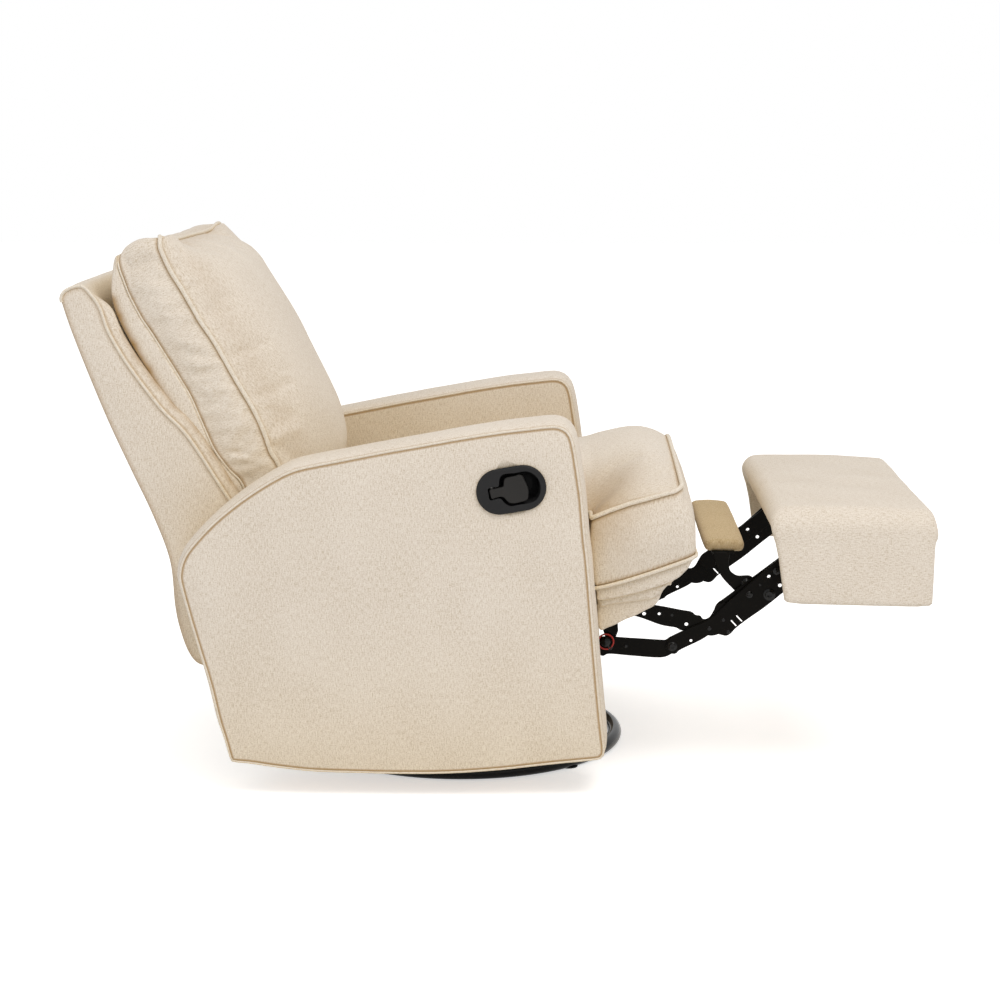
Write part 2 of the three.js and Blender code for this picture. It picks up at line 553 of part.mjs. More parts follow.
// Cushions are skins through rings, each ring with a flat bottom, leaning sides and a crown
const ring_shares = [-1, -0.94, -0.8, -0.6, -0.35, 0, 0.35, 0.6, 0.8, 0.94, 1];
const crown_power = 3;
function cushion_ring(place, half, low, side, crown) {
  const ring_points = [-0.97, -0.5, 0, 0.5, 0.97].map(share => place(share * half, low));
  ring_points.push(place(half * 1.0, along(low, side, 0.5)));
  [...ring_shares].reverse().forEach(share => {
    const rise = 1 - Math.abs(share) ** crown_power;
    ring_points.push(place(share * half, side + (crown - side) * rise));
  });
  ring_points.push(place(-half * 1.0, along(low, side, 0.5)));
  return ring_points;
}

// Along the seat: share of its length, share of the half width, bottom, side and crown heights
const seat_length = seat_front_x - seat.rear_x;
const ear_share = (nose_rear_x - seat.rear_x) / seat_length;
const seat_stations = [
  // length share, half width, bottom lift share, side share, crown share
  [0.000, seat_half_width * 0.95, 0, 0.00, 0.00], [0.030, seat_half_width * 0.985, 0, 0.10, 0.12],
  [0.180, seat_half_width, 0, 0.22, 0.40], [0.380, seat_half_width * 0.992, 0, 0.45, 0.68],
  [0.560, seat_half_width * 0.992, 0, 0.70, 0.87], [0.680, seat_half_width, 0, 0.90, 0.95],
  [ear_share, seat_half_width, 0, 1.00, 1.00],
];
const nose_stations = [
  // share of the nose's length, share of its half width, bottom, side and crown heights
  [0.00, 0.985, 0.00, 0.00, 0.00], [0.06, 1.00, 0.06, 0.06, 0.04], [0.32, 0.992, 0.32, 0.36, 0.60],
  [0.62, 0.992, 0.62, 0.76, 0.92], [0.80, 1.00, 0.80, 1.00, 0.66], [0.885, 0.995, 0.885, 0.55, -1.0],
  [0.945, 0.99, 0.945, -0.15, -4.0], [1.00, 0.98, 1.00, -1.15, -7.2],
];
const nose_low = share => slope_z + nose.over_deck + nose.lift * share;
const seat_rings = seat_stations.map(([share, half, , side, crown]) => {
  const x = seat.rear_x + share * seat_length;
  return cushion_ring((y, z) => new THREE.Vector3(x, y, z), half, seat_line(x) + gap,
    along(seat_side.rear_z, seat_side.nose_z, side), along(seat_crown.rear_z, seat_crown.nose_z, crown));
});
const nose_rings = nose_stations.map(([share, half, lift, side, crown]) => {
  const x = nose_rear_x + gap + share * (nose.length - gap);
  return cushion_ring((y, z) => new THREE.Vector3(x, y, z), half * nose.half_width, nose_low(lift),
    along(seat_side.nose_z, seat_side.front_z, side), along(seat_crown.nose_z, seat_crown.front_z, crown));
});
put(carriage, "seat_cushion", lofted([...seat_rings, ...nose_rings]), linen());

// The skirt under the nose: a fabric-covered front rail with two side blocks that reach down by the links
// Each point is a share of the nose's length and a drop below its underside, as a share of the skirt's depth
const skirt_points_under = shares => shares.map(([share, drop]) => new THREE.Vector2(
  nose_rear_x + share * nose.length, nose_low(share) - gap - drop * skirt.depth));
const band_shares = [[0.02, 0.00], [1.00, 0.00], [0.95, 0.46], [0.02, 0.26]];
const lip_shares = [[0.03, 0.20], [0.93, 0.40], [0.86, 0.58], [0.62, 0.70], [0.37, 0.61], [0.14, 0.51]];
const ear_shares = [[0.05, 0.15], [0.94, 0.40], [0.59, 0.72], [0.49, 0.89], [0.28, 0.93], [0.13, 1.00], [0.06, 0.70]];
const layer = number => plate_inner_y + number * (steel + gap); // the mechanism's steel lies in layers
const ear_inner_y = layer(2) + steel + rivet.height + ear.link_room;
const ear_outer_y = ear_inner_y + ear.width;
const ears = sides.map(([, side]) => plate(skirt_points_under(ear_shares), side * ear_inner_y, side * ear_outer_y));
const skirt_half = nose.half_width - nose.skirt_inset;
put(carriage, "seat_apron", joined(plate(skirt_points_under(band_shares), -skirt_half, skirt_half),
  plate(skirt_points_under(lip_shares), -ear_outer_y, ear_outer_y), ...ears), linen());

// Back
const recline = pivot("recline", carriage, hinge_x, hinge.z);
const back_outline_shares = [
  [0.109, 1.000], [0.035, 0.995], [0.000, 0.977], [0.053, 0.881], [0.135, 0.763],
  [0.224, 0.646], [0.324, 0.526], [0.426, 0.406], [0.526, 0.285], [0.532, 0.164],
  [0.538, 0.124], [0.585, 0.042], [0.635, 0.003], [0.785, 0.000], [0.932, 0.062],
  [1.000, 0.163], [0.991, 0.271], [0.932, 0.379], [0.856, 0.455], [0.682, 0.567],
  [0.426, 0.737], [0.132, 0.991],
];
const back_outline = traced(back_outline_shares, back_rear_x, back.bottom, back.length, back.height);
const back_inner = drawn_in(back_outline, back.wall);
const cavity_half = back_half_width - back.wall;
const cavity_ahead = (back_inner.map(point => point.clone().add(new THREE.Vector2(back.wall * 3, back.wall * 0.5))));
const back_shell = solid(plate(back_outline, -back_half_width, back_half_width, [], back.wall / 3))
  .subtract(solid(plate(back_inner, -cavity_half, cavity_half)))
  .subtract(solid(plate(cavity_ahead, -cavity_half, cavity_half)));
put(recline, "back_cover", back_shell, linen());

const bracket_inner_y = plate_outer_y + gap;
const bracket_outer_y = bracket_inner_y + steel;
const wing_points = drawn_in(back_outline, back.wall + gap);
const wing_outer = cavity_half - gap;
const wing_inner = bracket_outer_y + gap;
sides.forEach(([word, side]) => {
  put(recline, `back_wing_${word}`, plate(wing_points, side * wing_inner, side * wing_outer), plywood());
});
const back_rail_reach = wing_inner - gap;
const top_rail_shares = [[0.055, 0.961], [0.112, 0.961], [0.212, 0.878], [0.100, 0.878]];
const bottom_rail_shares = [[0.647, 0.027], [0.771, 0.027], [0.847, 0.060], [0.847, 0.104], [0.624, 0.104]];
[["top", top_rail_shares], ["bottom", bottom_rail_shares]].forEach(([place, shares]) => {
  const points = traced(shares, back_rear_x, back.bottom, back.length, back.height);
  put(recline, `back_${place}_rail`, plate(points, -back_rail_reach, back_rail_reach), pine());
});

// Front edge of the cover, from its lowest point up to its top corner, and on beyond that
const cover_front = back_outline.slice(-5);
function cover_front_x(z) {
  const upper = Math.max(1, cover_front.findIndex((point, index) => point.y >= z || index === cover_front.length - 1));
  const [one, two] = [cover_front[upper - 1], cover_front[upper]];
  return along(one.x, two.x, (z - one.y) / (two.y - one.y));
}

// Back cushion: height share, half-width share, how far its rear stands off the cover as a share of the
// slab's depth, then how far its side edge and its crown stand ahead of that as shares of its own depth
const back_stations = [
  [0.000, 0.920, 0.075, 0.068, 0.228],
  [0.035, 0.975, 0.090, 0.073, 0.343],
  [0.105, 0.992, 0.067, 0.109, 0.481],
  [0.174, 0.985, 0.120, 0.159, 0.569],
  [0.217, 0.985, 0.175, 0.172, 0.583],
  [0.403, 0.980, 0.519, 0.227, 0.623],
  [0.622, 0.985, 0.770, 0.248, 0.615],
  [0.824, 0.995, 1.048, 0.243, 0.559],
  [0.916, 1.000, 1.221, 0.245, 0.525],
  [0.965, 0.985, 1.505, 0.216, 0.456],
  [1.000, 0.950, 1.919, 0.133, 0.348],
];
const cushion_z = up => cushion_bottom + up * back_cushion.height;
const cushion_rear = (up, off) => cover_front_x(cushion_z(up)) + 2 * gap + off * back_cushion.slab_depth;
const back_rings = back_stations.map(([up, half, off, side, crown]) => {
  const rear = cushion_rear(up, off);
  return cushion_ring((y, x) => new THREE.Vector3(x, y, cushion_z(up)), half * cushion_half_width,
    rear, rear + side * back_cushion.depth, rear + crown * back_cushion.depth);
});
put(recline, "back_cushion", lofted(back_rings), linen());

// The slab that fills the wedge between the cover's front edge and the cushion
const slab_behind = cover_front.slice(-3).map(point => new THREE.Vector2(point.x + 2 * gap, point.y));
const slab_ahead = back_stations.slice(4, 8).reverse().map(([up, , off]) =>
  new THREE.Vector2(cushion_rear(up, off) - 2 * gap, cushion_z(up)));
const slab_half = cushion_half_width - back_cushion.slab_inset;
put(recline, "back_slab", plate([...slab_behind, ...slab_ahead], -slab_half, slab_half), linen());

// Brackets that carry the back on the side plates
const bracket_shares = [
  [0.74, 0.00], [0.90, -0.06], [1.00, 0.08], [1.00, 0.22], [0.86, 0.40], [0.42, 0.92], [0.28, 1.00], [0.10, 0.96],
  [0.06, 0.60], [0.16, 0.30],
];
const bracket_points = traced(bracket_shares, hinge_x - back_bracket.behind_hinge, hinge.z - back_bracket.below_hinge,
  back_bracket.length, back_bracket.height);
sides.forEach(([word, side]) => {
  put(recline, `back_bracket_${word}`, plate(bracket_points, side * bracket_inner_y, side * bracket_outer_y),
    black_steel());
});

// Footrest linkage. Three layers of steel, each one clear of the next: B outside, A and C behind it, then D
function link(parent, name, number, stops, holes, rivets) {
  sides.forEach(([word, side]) => {
    const near = side * layer(number);
    const far = side * (layer(number) + steel);
    const body = plate(bar_outline(stops), near, far, holes);
    const heads = rivets.map(place => pin_y(place.x, place.z, place.radius || rivet.radius,
      (near + far) / 2, far + side * rivet.height));
    put(parent, `${name}_${word}`, heads.length ? joined(body, ...heads) : body, black_steel());
  });
}
const between = (one, two, share) => ({ x: along(one.x, two.x, share), z: along(one.z, two.z, share) });
const stop = (place, width) => ({ x: place.x, z: place.z, width: width });

const fold_a = pivot("fold_a", carriage, pivot_a.x, pivot_a.z);
link(fold_a, "link_a", 1, [stop(pivot_a, link_width.narrow), stop(joint_ab, link_width.narrow)],
  [{ ...joint_ab, radius: hole_radius * 1.6 }],
  [{ x: pivot_a.x + washer.from_pivot, z: along(pivot_a.z, joint_ab.z, 0.5), radius: washer.bore_radius - gap }]);
const washer_profile = [[washer.bore_radius, 0], [washer.radius, 0], [washer.radius, washer.thickness],
  [washer.bore_radius, washer.thickness]];
put(fold_a, "pivot_washer", turned(washer_profile).rotateX(Math.PI / 2).translate(pivot_a.x + washer.from_pivot,
  -(layer(1) + steel + gap), along(pivot_a.z, joint_ab.z, 0.5)), finish(colours.red, 0.5, 0));

const fold_c = pivot("fold_c", carriage, pivot_c.x, pivot_c.z);
link(fold_c, "link_c", 1, [stop(pivot_c, link_width.narrow), stop(joint_bc, link_width.narrow),
  stop(joint_cd, link_width.strap)],
  [0.34, 0.48, 0.75].map(share => between(pivot_c, joint_bc, share)), []);

const fold_b = pivot("fold_b", fold_c, joint_bc.x, joint_bc.z);
const knee = between(joint_bc, joint_bf, 0.12);
link(fold_b, "link_b", 2, [stop(joint_ab, link_width.narrow), stop(between(joint_ab, joint_bc, 0.8), link_width.narrow),
  stop(knee, link_width.wide * 0.9), stop(between(joint_bc, joint_bf, 0.34), link_width.wide),
  stop(joint_bf, link_width.wide)],
  [between(joint_ab, joint_bc, 0.45),
    ...[first_light_hole, second_light_hole].map(hole => ({ x: joint_bf.x + hole.x, z: joint_bf.z + hole.z }))],
  [joint_ab, joint_bc, { ...between(joint_bc, joint_bf, 0.62), radius: rivet.radius * 1.6 }, joint_bf]);

const fold_d = pivot("fold_d", fold_c, joint_cd.x, joint_cd.z);
const joint_df = { x: joint_bf.x + joint_cd.x - joint_bc.x, z: joint_bf.z + joint_cd.z - joint_bc.z };
link(fold_d, "link_d", 0, [stop(joint_cd, link_width.strap), stop(joint_df, link_width.strap)], [], []);

// Footrest: brackets, board and the padded cover with its two side flaps
const fold_f = pivot("fold_f", fold_b, joint_bf.x, joint_bf.z);
const board_top = footrest_top - footrest_pad.soft;
const board_low = board_top - footrest_board.thickness;
const bracket_top = board_low - gap;
const foot_bracket_points = [
  [joint_bf.x - link_width.strap, bracket_top], [joint_bf.x - link_width.strap, joint_bf.z - link_width.strap * 0.4],
  [joint_bf.x, joint_bf.z - link_width.strap], [joint_df.x + link_width.strap * 0.8, joint_df.z - link_width.strap * 0.7],
  [along(joint_df.x, footrest_front_x, 0.55), bracket_top - link_width.strap],
  [along(joint_df.x, footrest_front_x, 0.62), bracket_top],
].map(([x, z]) => new THREE.Vector2(x, z));
sides.forEach(([word, side]) => {
  put(fold_f, `footrest_bracket_${word}`, plate(foot_bracket_points, side * layer(1), side * (layer(1) + steel)),
    black_steel());
});
const flap_inner = footrest.half_width - footrest_pad.flap;
put(fold_f, "footrest_board", block(footrest_rear_x + footrest_board.inset + footrest_pad.edge_drop,
  footrest_front_x - footrest_board.inset, -flap_inner + gap, flap_inner - gap, board_low, board_top), plywood());
const foot_top_shares = [
  [0.00, 0.86], [0.012, 0.94], [0.05, 0.985], [0.11, 1.00], [0.50, 1.00], [0.90, 0.985], [0.96, 0.95], [0.99, 0.88],
  [1.00, 0.78],
];
const foot_low_share = (board_low - footrest_bottom) / footrest.height;
const foot_low_shares = [[0.992, 0.06], [0.97, 0.00], [0.12, 0.00], [0.09, 0.05], [0.050, 0.34], [0.012, foot_low_share]];
const foot_outline = traced([...foot_top_shares, ...foot_low_shares], footrest_rear_x, footrest_bottom,
  footrest.length, footrest.height);
const foot_body = solid(plate(foot_outline, -footrest.half_width, footrest.half_width, [], footrest_pad.flap / 6));
const foot_hollow = block(footrest_rear_x - overrun, footrest_front_x + overrun, -flap_inner, flap_inner,
  footrest_bottom - overrun, board_low - gap);
const board_room = block(footrest_rear_x + footrest_board.inset + footrest_pad.edge_drop - gap,
  footrest_front_x - footrest_board.inset + gap, -flap_inner, flap_inner, board_low - footrest_pad.edge_drop, board_top + gap);
put(fold_f, "footrest_cover", foot_body.subtract(solid(foot_hollow)).subtract(solid(board_room)), linen());

// Calf pad between the footrest and the seat, on two bent straps that link D carries
const lean = radians(calf.lean_degrees);
const on_calf = (across, up) => new THREE.Vector2(
  calf_x + across * Math.cos(lean) - up * Math.sin(lean), calf_z + across * Math.sin(lean) + up * Math.cos(lean));
const calf_stations = [[-1, 0.72, 0.5], [-0.985, 0.92, 0.8], [-0.93, 1, 1], [0, 0.97, 1], [0.93, 1, 1], [0.985, 0.92, 0.8],
  [1, 0.72, 0.5]];
const calf_section_shares = [[-1, 0], [-0.9, 0.75], [-0.5, 1], [0, 1.1], [0.5, 1], [0.9, 0.75], [1, 0], [0.9, -0.75],
  [0.5, -1], [0, -1], [-0.5, -1], [-0.9, -0.75]];
const calf_rings = calf_stations.map(([way, long, thick]) => calf_section_shares.map(([across, up]) => {
  const point = on_calf((across * long * calf.length) / 2, (up * thick * calf.thickness) / 2);
  return new THREE.Vector3(point.x, way * calf.half_width, point.y);
}));
put(fold_d, "calf_pad", lofted(calf_rings), finish(colours.khaki, 0.9, 0));

const strap_outer_y = layer(0) - gap;
const strap_top = -calf.thickness / 2 - gap;
const strap_foot = [[-0.5, strap_top], [0.5, strap_top], [0.5, strap_top - steel], [-0.5, strap_top - steel]]
  .map(([share, up]) => on_calf(share * calf_bracket.width, up));
const strap_end = between(joint_cd, joint_df, 0.3);
const strap_head = on_calf(0, strap_top - steel / 2);
const strap_bar = bar_outline([{ x: strap_head.x, z: strap_head.y, width: calf_bracket.width },
  stop(strap_end, link_width.strap)]);
const above_foot = plate([[-1, strap_top], [1, strap_top], [1, calf.thickness * 2], [-1, calf.thickness * 2]]
  .map(([share, up]) => on_calf(share * calf.length, up)), -overrun - strap_outer_y, strap_outer_y + overrun);
sides.forEach(([word, side]) => {
  const upright_part = solid(plate(strap_bar, side * (strap_outer_y - steel), side * strap_outer_y))
    .subtract(solid(above_foot));
  const foot = solid(plate(strap_foot, side * calf_bracket.inner_y, side * strap_outer_y));
  put(fold_d, `calf_bracket_${word}`, upright_part.add(foot), black_steel());
});

// The chair stands on the bottom centre of its own box
chair.updateMatrixWorld(true);
const box = new THREE.Box3().setFromObject(chair, true);
chair.position.set(-(box.min.x + box.max.x) / 2, -(box.min.y + box.max.y) / 2, -box.min.z);

export default chair;
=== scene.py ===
# %% [markdown]
# # A swivel glider recliner
# This lesson dresses a chair whose structure is already built to size: a ring base with a swivel, two pairs of
# swinging links for the glide, a folding footrest linkage and an upholstered body. Blender adds what the eye
# reads first: cushions that are full and soft, welts along their seams, woven linen, and black steel.

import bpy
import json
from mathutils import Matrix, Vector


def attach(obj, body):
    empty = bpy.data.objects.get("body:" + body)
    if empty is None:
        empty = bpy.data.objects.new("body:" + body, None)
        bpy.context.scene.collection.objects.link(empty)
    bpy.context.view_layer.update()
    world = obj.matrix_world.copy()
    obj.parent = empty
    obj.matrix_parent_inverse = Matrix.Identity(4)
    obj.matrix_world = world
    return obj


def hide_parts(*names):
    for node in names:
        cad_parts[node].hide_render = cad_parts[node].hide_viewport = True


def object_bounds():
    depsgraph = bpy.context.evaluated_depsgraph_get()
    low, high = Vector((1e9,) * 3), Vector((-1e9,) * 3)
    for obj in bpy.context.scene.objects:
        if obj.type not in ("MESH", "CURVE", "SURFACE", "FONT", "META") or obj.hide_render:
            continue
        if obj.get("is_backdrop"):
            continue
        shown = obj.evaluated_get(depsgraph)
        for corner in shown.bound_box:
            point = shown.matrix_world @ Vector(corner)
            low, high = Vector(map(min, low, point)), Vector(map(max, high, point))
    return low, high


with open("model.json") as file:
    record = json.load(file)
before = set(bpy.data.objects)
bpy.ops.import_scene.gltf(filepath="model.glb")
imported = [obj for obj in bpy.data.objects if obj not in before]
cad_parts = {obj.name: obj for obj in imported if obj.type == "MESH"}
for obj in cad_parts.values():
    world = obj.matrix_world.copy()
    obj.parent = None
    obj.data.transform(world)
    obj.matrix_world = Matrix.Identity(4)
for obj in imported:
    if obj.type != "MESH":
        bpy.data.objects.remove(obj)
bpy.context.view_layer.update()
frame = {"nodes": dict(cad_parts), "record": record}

# %% [markdown]
# The chair was drawn in millimetres round its swivel's upright axis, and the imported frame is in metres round
# the middle of its box, 71.5 mm ahead of that axis. One function changes from the first to the second.

# %% Millimetres to metres
import json
import math
from contextlib import contextmanager

import bmesh
import bpy
import numpy as np
from mathutils import Vector, geometry, noise
from mathutils.kdtree import KDTree

AXIS_BEHIND_ORIGIN = 71.5
MM = 0.001
SIDES = (("right", -1), ("left", 1))


def metres(points):
    """Drawing millimetres to metres in the frame."""
    return (np.asarray(points, float) - (AXIS_BEHIND_ORIGIN, 0, 0)) * MM


print("swivel axis at x =", metres([0, 0, 0])[0])

# %% [markdown]
# Every colour is written as the sRGB hex value a painter would pick, and one function turns it to the linear
# numbers that a shader works in. One more function adds a shader node with its settings and its links.

# %% Colours and nodes
def colour(text):
    """sRGB hex to linear RGBA."""
    shares = [int(text[start:start + 2], 16) / 255 for start in (0, 2, 4)]
    return [s / 12.92 if s <= 0.04045 else ((s + 0.055) / 1.055) ** 2.4 for s in shares] + [1.0]


def add(tree, kind, inputs=None, **settings):
    """One node, its settings, and its inputs as values or links."""
    made = tree.nodes.new(kind)
    for key, value in settings.items():
        setattr(made, key, value)
    for key, value in (inputs or {}).items():
        if isinstance(value, bpy.types.NodeSocket):
            tree.links.new(value, made.inputs[key])
        else:
            made.inputs[key].default_value = value
    return made


def new_material(name):
    material = bpy.data.materials.new(name)
    material.use_nodes = True
    tree = material.node_tree
    tree.nodes.clear()
    shader = add(tree, "ShaderNodeBsdfPrincipled")
    add(tree, "ShaderNodeOutputMaterial", {"Surface": shader.outputs[0]})
    return material, tree, shader


# %% [markdown]
# The cover is a linen-look polyester: a plain weave of slubby yarn, cream with warmer threads in it. To the eye
# it is matt, slightly streaked along the warp, with a faint bloom at grazing angles from loose fibres. Each
# fabric piece carries its own map in metres along weft and warp, so the streaks follow the cut of the cloth.
# A real thread is about 0.5 mm wide. That is under a third of a pixel in a picture of the whole chair, so the threads
# are drawn 1.1 mm apart and the slubs, 1.5 by 9 mm, carry what shows from a step away. In a hollow the light has
# bounced from cloth to cloth and is warmer, so an ambient occlusion node paints that warmer shade into the colour
# there. A mesh attribute also paints a brown shade into the colour beside the seams and in hollows where little light
# reaches.

# %% Woven linen
THREAD_MM = 1.1
SLUB_WIDE_MM, SLUB_LONG_MM = 1.5, 9.0
HEATHER_MM, DRIFT_WIDE_MM, DRIFT_LONG_MM = 2.2, 90, 140  # fine flecks, and slow changes of tone
WAVE_PERIOD = math.tau / 20  # length of one band of a wave texture at scale 1
# The ambient occlusion node paints a warm shade into hollows, standing for light bounced from cloth to cloth. The next
# line gives how far it looks and the warm tint it multiplies in.
HOLLOW_REACH, HOLLOW_TINT = 0.35, (1.0, 0.93, 0.76, 1.0)  # metres, and the colour that multiplies the cloth's
# The next colour is the brown of painted shade. It is mixed into the cloth beside seams and in hollows where little
# light reaches.
PAINTED_SHADE_COLOUR = "9E7C4A"


def settled(shader, **values):
    """Set the shader's plain inputs, named with _ for each space."""
    for key, value in values.items():
        shader.inputs[key.replace("_", " ")].default_value = value


def linen(name, pale, mid, deep, streak=0.55, painted_shade_colour=PAINTED_SHADE_COLOUR, painted_hollow_warmth=1.0):
    material, tree, shader = new_material(name)
    cloth = add(tree, "ShaderNodeUVMap", uv_map="cloth").outputs[0]

    def scaled(across_mm, along_mm):
        return add(tree, "ShaderNodeMapping", {
            "Vector": cloth, "Scale": (1 / (across_mm * MM), 1 / (along_mm * MM), 1)}).outputs[0]

    def noisy(vector, detail=2.0):
        return add(tree, "ShaderNodeTexNoise", {"Vector": vector, "Scale": 1.0, "Detail": detail},
                   noise_dimensions="2D").outputs[0]

    def blend(one, two, share):
        return add(tree, "ShaderNodeMix", {0: share, 2: one, 3: two}).outputs[0]

    warp_slubs = noisy(scaled(SLUB_WIDE_MM, SLUB_LONG_MM))
    weft_slubs = noisy(scaled(SLUB_LONG_MM * 0.7, SLUB_WIDE_MM * 1.2))
    heather = noisy(scaled(HEATHER_MM, HEATHER_MM), 3.0)
    drift = noisy(scaled(DRIFT_WIDE_MM, DRIFT_LONG_MM), 1.0)
    slubs = blend(warp_slubs, weft_slubs, 0.26)
    mottle = blend(slubs, heather, 1 - streak)
    tone = blend(mottle, drift, 0.07)
    ramp = add(tree, "ShaderNodeValToRGB", {"Fac": tone})
    for stop, place, shade in zip(ramp.color_ramp.elements, (0.33, 0.67), (deep, pale)):
        stop.position, stop.color = place, colour(shade)
    ramp.color_ramp.elements.new(0.5).color = colour(mid)

    def threads(direction):
        return add(tree, "ShaderNodeTexWave", {
            "Vector": cloth, "Scale": WAVE_PERIOD / (THREAD_MM * MM), "Distortion": 0.6, "Detail Scale": 0.4},
            wave_type="BANDS", bands_direction=direction, wave_profile="SIN").outputs[1]

    weave = blend(threads("X"), threads("Y"), 0.5)
    relief = blend(weave, mottle, 0.72)
    fine = add(tree, "ShaderNodeBump", {"Height": relief, "Strength": 0.5, "Distance": 0.9 * MM})
    soft = add(tree, "ShaderNodeBump", {
        "Height": drift, "Strength": 0.35, "Distance": 6 * MM, "Normal": fine.outputs[0]})
    # Painted shade: a mesh attribute mixes the cloth towards the brown of painted shade beside seams and in hollows.
    painted_shade = add(tree, "ShaderNodeAttribute", attribute_name="painted_shade").outputs["Fac"]
    shaded = add(tree, "ShaderNodeMix", {0: painted_shade, 6: ramp.outputs[0], 7: colour(painted_shade_colour)}, data_type="RGBA")
    # Painted warm shade: in hollows found by the ambient occlusion node, the colour is multiplied by the warm tint,
    # scaled by the warmth argument.
    open_air = add(tree, "ShaderNodeAmbientOcclusion", {"Distance": HOLLOW_REACH}, samples=6)
    warmed = add(tree, "ShaderNodeMix", {0: painted_hollow_warmth, 6: shaded.outputs[2], 7: HOLLOW_TINT}, data_type="RGBA",
                 blend_type="MULTIPLY")
    hollow = add(tree, "ShaderNodeMapRange", {0: open_air.outputs["AO"], 1: 0.25, 2: 0.95, 3: 1.0, 4: 0.0})
    toned = add(tree, "ShaderNodeMix", {0: hollow.outputs[0], 6: shaded.outputs[2], 7: warmed.outputs[2]},
                data_type="RGBA")
    tree.links.new(toned.outputs[2], shader.inputs["Base Color"])
    tree.links.new(soft.outputs[0], shader.inputs["Normal"])
    settled(shader, Roughness=0.92, Specular_IOR_Level=0.2, Sheen_Weight=0.12, Sheen_Roughness=0.6)
    return material


CREAM = linen("woven_linen_cream", "E8E1D6", "DCD2C6", "C3B5A0")
WELT = linen("woven_linen_welt", "EAE3D8", "E0D7CA", "CABBA5")
# The khaki's brown 6E5634 is its painted shade colour. It takes a fifth of the painted warm shade in hollows.
KHAKI = linen("woven_linen_khaki", "D6C4A2", "C7B28C", "A88F66", 0.45, "6E5634", 0.2)
print("fabrics:", CREAM.name, WELT.name, KHAKI.name)

# %% [markdown]
# The ring base is steel tube with a gloss black powder coat, which flows smooth and mirrors the room as broad
# highlights. The folding links are pressed steel in a thinner satin black, slightly orange-peeled. Both are
# paint to the eye: no metal shows, so neither shader is metallic.

# %% Black steel, bright steel and plastic
def hard(name, base, roughness, bump_mm=0.0, bump_size_mm=1.0, metallic=0.0, coat=0.0, mottle=0.12, shine=0.5):
    material, tree, shader = new_material(name)
    place = add(tree, "ShaderNodeTexCoord").outputs["Object"]
    grain = add(tree, "ShaderNodeTexNoise", {
        "Vector": place, "Scale": 1 / (bump_size_mm * MM), "Detail": 3.0}).outputs[0]
    smudges = add(tree, "ShaderNodeTexNoise", {"Vector": place, "Scale": 1 / (40 * MM), "Detail": 4.0}).outputs[0]
    span = add(tree, "ShaderNodeMapRange", {
        0: smudges, 1: 0.3, 2: 0.7, 3: roughness * (1 - mottle), 4: roughness * (1 + mottle)})
    tone = add(tree, "ShaderNodeMix", {0: smudges, 6: colour(base[0]), 7: colour(base[1])}, data_type="RGBA")
    tree.links.new(tone.outputs[2], shader.inputs["Base Color"])
    tree.links.new(span.outputs[0], shader.inputs["Roughness"])
    if bump_mm:
        bump = add(tree, "ShaderNodeBump", {"Height": grain, "Strength": 0.6, "Distance": bump_mm * MM})
        tree.links.new(bump.outputs[0], shader.inputs["Normal"])
    settled(shader, Metallic=metallic, Specular_IOR_Level=shine, Coat_Weight=coat, Coat_Roughness=0.08)
    return material


GLOSS_BLACK = hard("powder_coated_steel_gloss_black", ("050504", "090907"), 0.18, 0.05, 6.0, coat=0.06, shine=0.12)
SATIN_BLACK = hard("painted_steel_satin_black", ("0A0907", "100E0B"), 0.34, 0.08, 2.0, shine=0.05)
RIVET_BLACK = hard("blackened_steel_rivet", ("080808", "121211"), 0.2, 0.05, 1.0, shine=0.22)
BRIGHT = hard("zinc_plated_steel", ("9A9A98", "B4B3AE"), 0.34, 0.03, 1.5, metallic=1.0)
NYLON = hard("moulded_nylon_black", ("141415", "1C1C1D"), 0.55, 0.05, 1.0)
HANDLE_BLACK = hard("textured_abs_black", ("1F1F20", "29292A"), 0.5, 0.14, 0.7, shine=0.14)
PADDLE_BLACK = hard("textured_abs_charcoal", ("262524", "2F2E2D"), 0.48, 0.14, 0.7, shine=0.14)
RED_NYLON = hard("moulded_nylon_red", ("A81F16", "C02A20"), 0.4, 0.04, 1.0)


def timber(name, pale, deep, ring_mm):
    """Sawn softwood or plywood: long grain in bands, matt and open."""
    material, tree, shader = new_material(name)
    place = add(tree, "ShaderNodeTexCoord").outputs["Object"]
    drawn = add(tree, "ShaderNodeMapping", {
        "Vector": place, "Scale": (1 / (60 * MM), 1 / (ring_mm * MM), 1 / (ring_mm * MM))}).outputs[0]
    grain = add(tree, "ShaderNodeTexNoise", {
        "Vector": drawn, "Scale": 1.0, "Detail": 5.0, "Distortion": 0.6}).outputs[0]
    tone = add(tree, "ShaderNodeMix", {0: grain, 6: colour(deep), 7: colour(pale)}, data_type="RGBA")
    bump = add(tree, "ShaderNodeBump", {"Height": grain, "Strength": 0.4, "Distance": 0.3 * MM})
    tree.links.new(tone.outputs[2], shader.inputs["Base Color"])
    tree.links.new(bump.outputs[0], shader.inputs["Normal"])
    settled(shader, Roughness=0.75)
    return material


PLYWOOD = timber("birch_plywood", "D8B680", "B98D57", 5.0)
PINE = timber("sawn_pine", "DDBD8B", "C49A62", 7.0)

FINISHES = {
    "gloss_black_steel": GLOSS_BLACK, "black_steel": SATIN_BLACK, "bright_steel": BRIGHT, "black_nylon": NYLON,
    "satin_black_plastic": HANDLE_BLACK, "red_plastic": RED_NYLON, "plywood": PLYWOOD, "pine": PINE,
}
painted = 0
for part in frame["record"]["subparts"]:
    finish = FINISHES.get(part["material_slot"])
    node_object = frame["nodes"].get(part["node"])
    if finish and node_object:
        node_object.data.materials.clear()
        node_object.data.materials.append(finish)
        painted += 1
print("hard nodes given a finish:", painted)

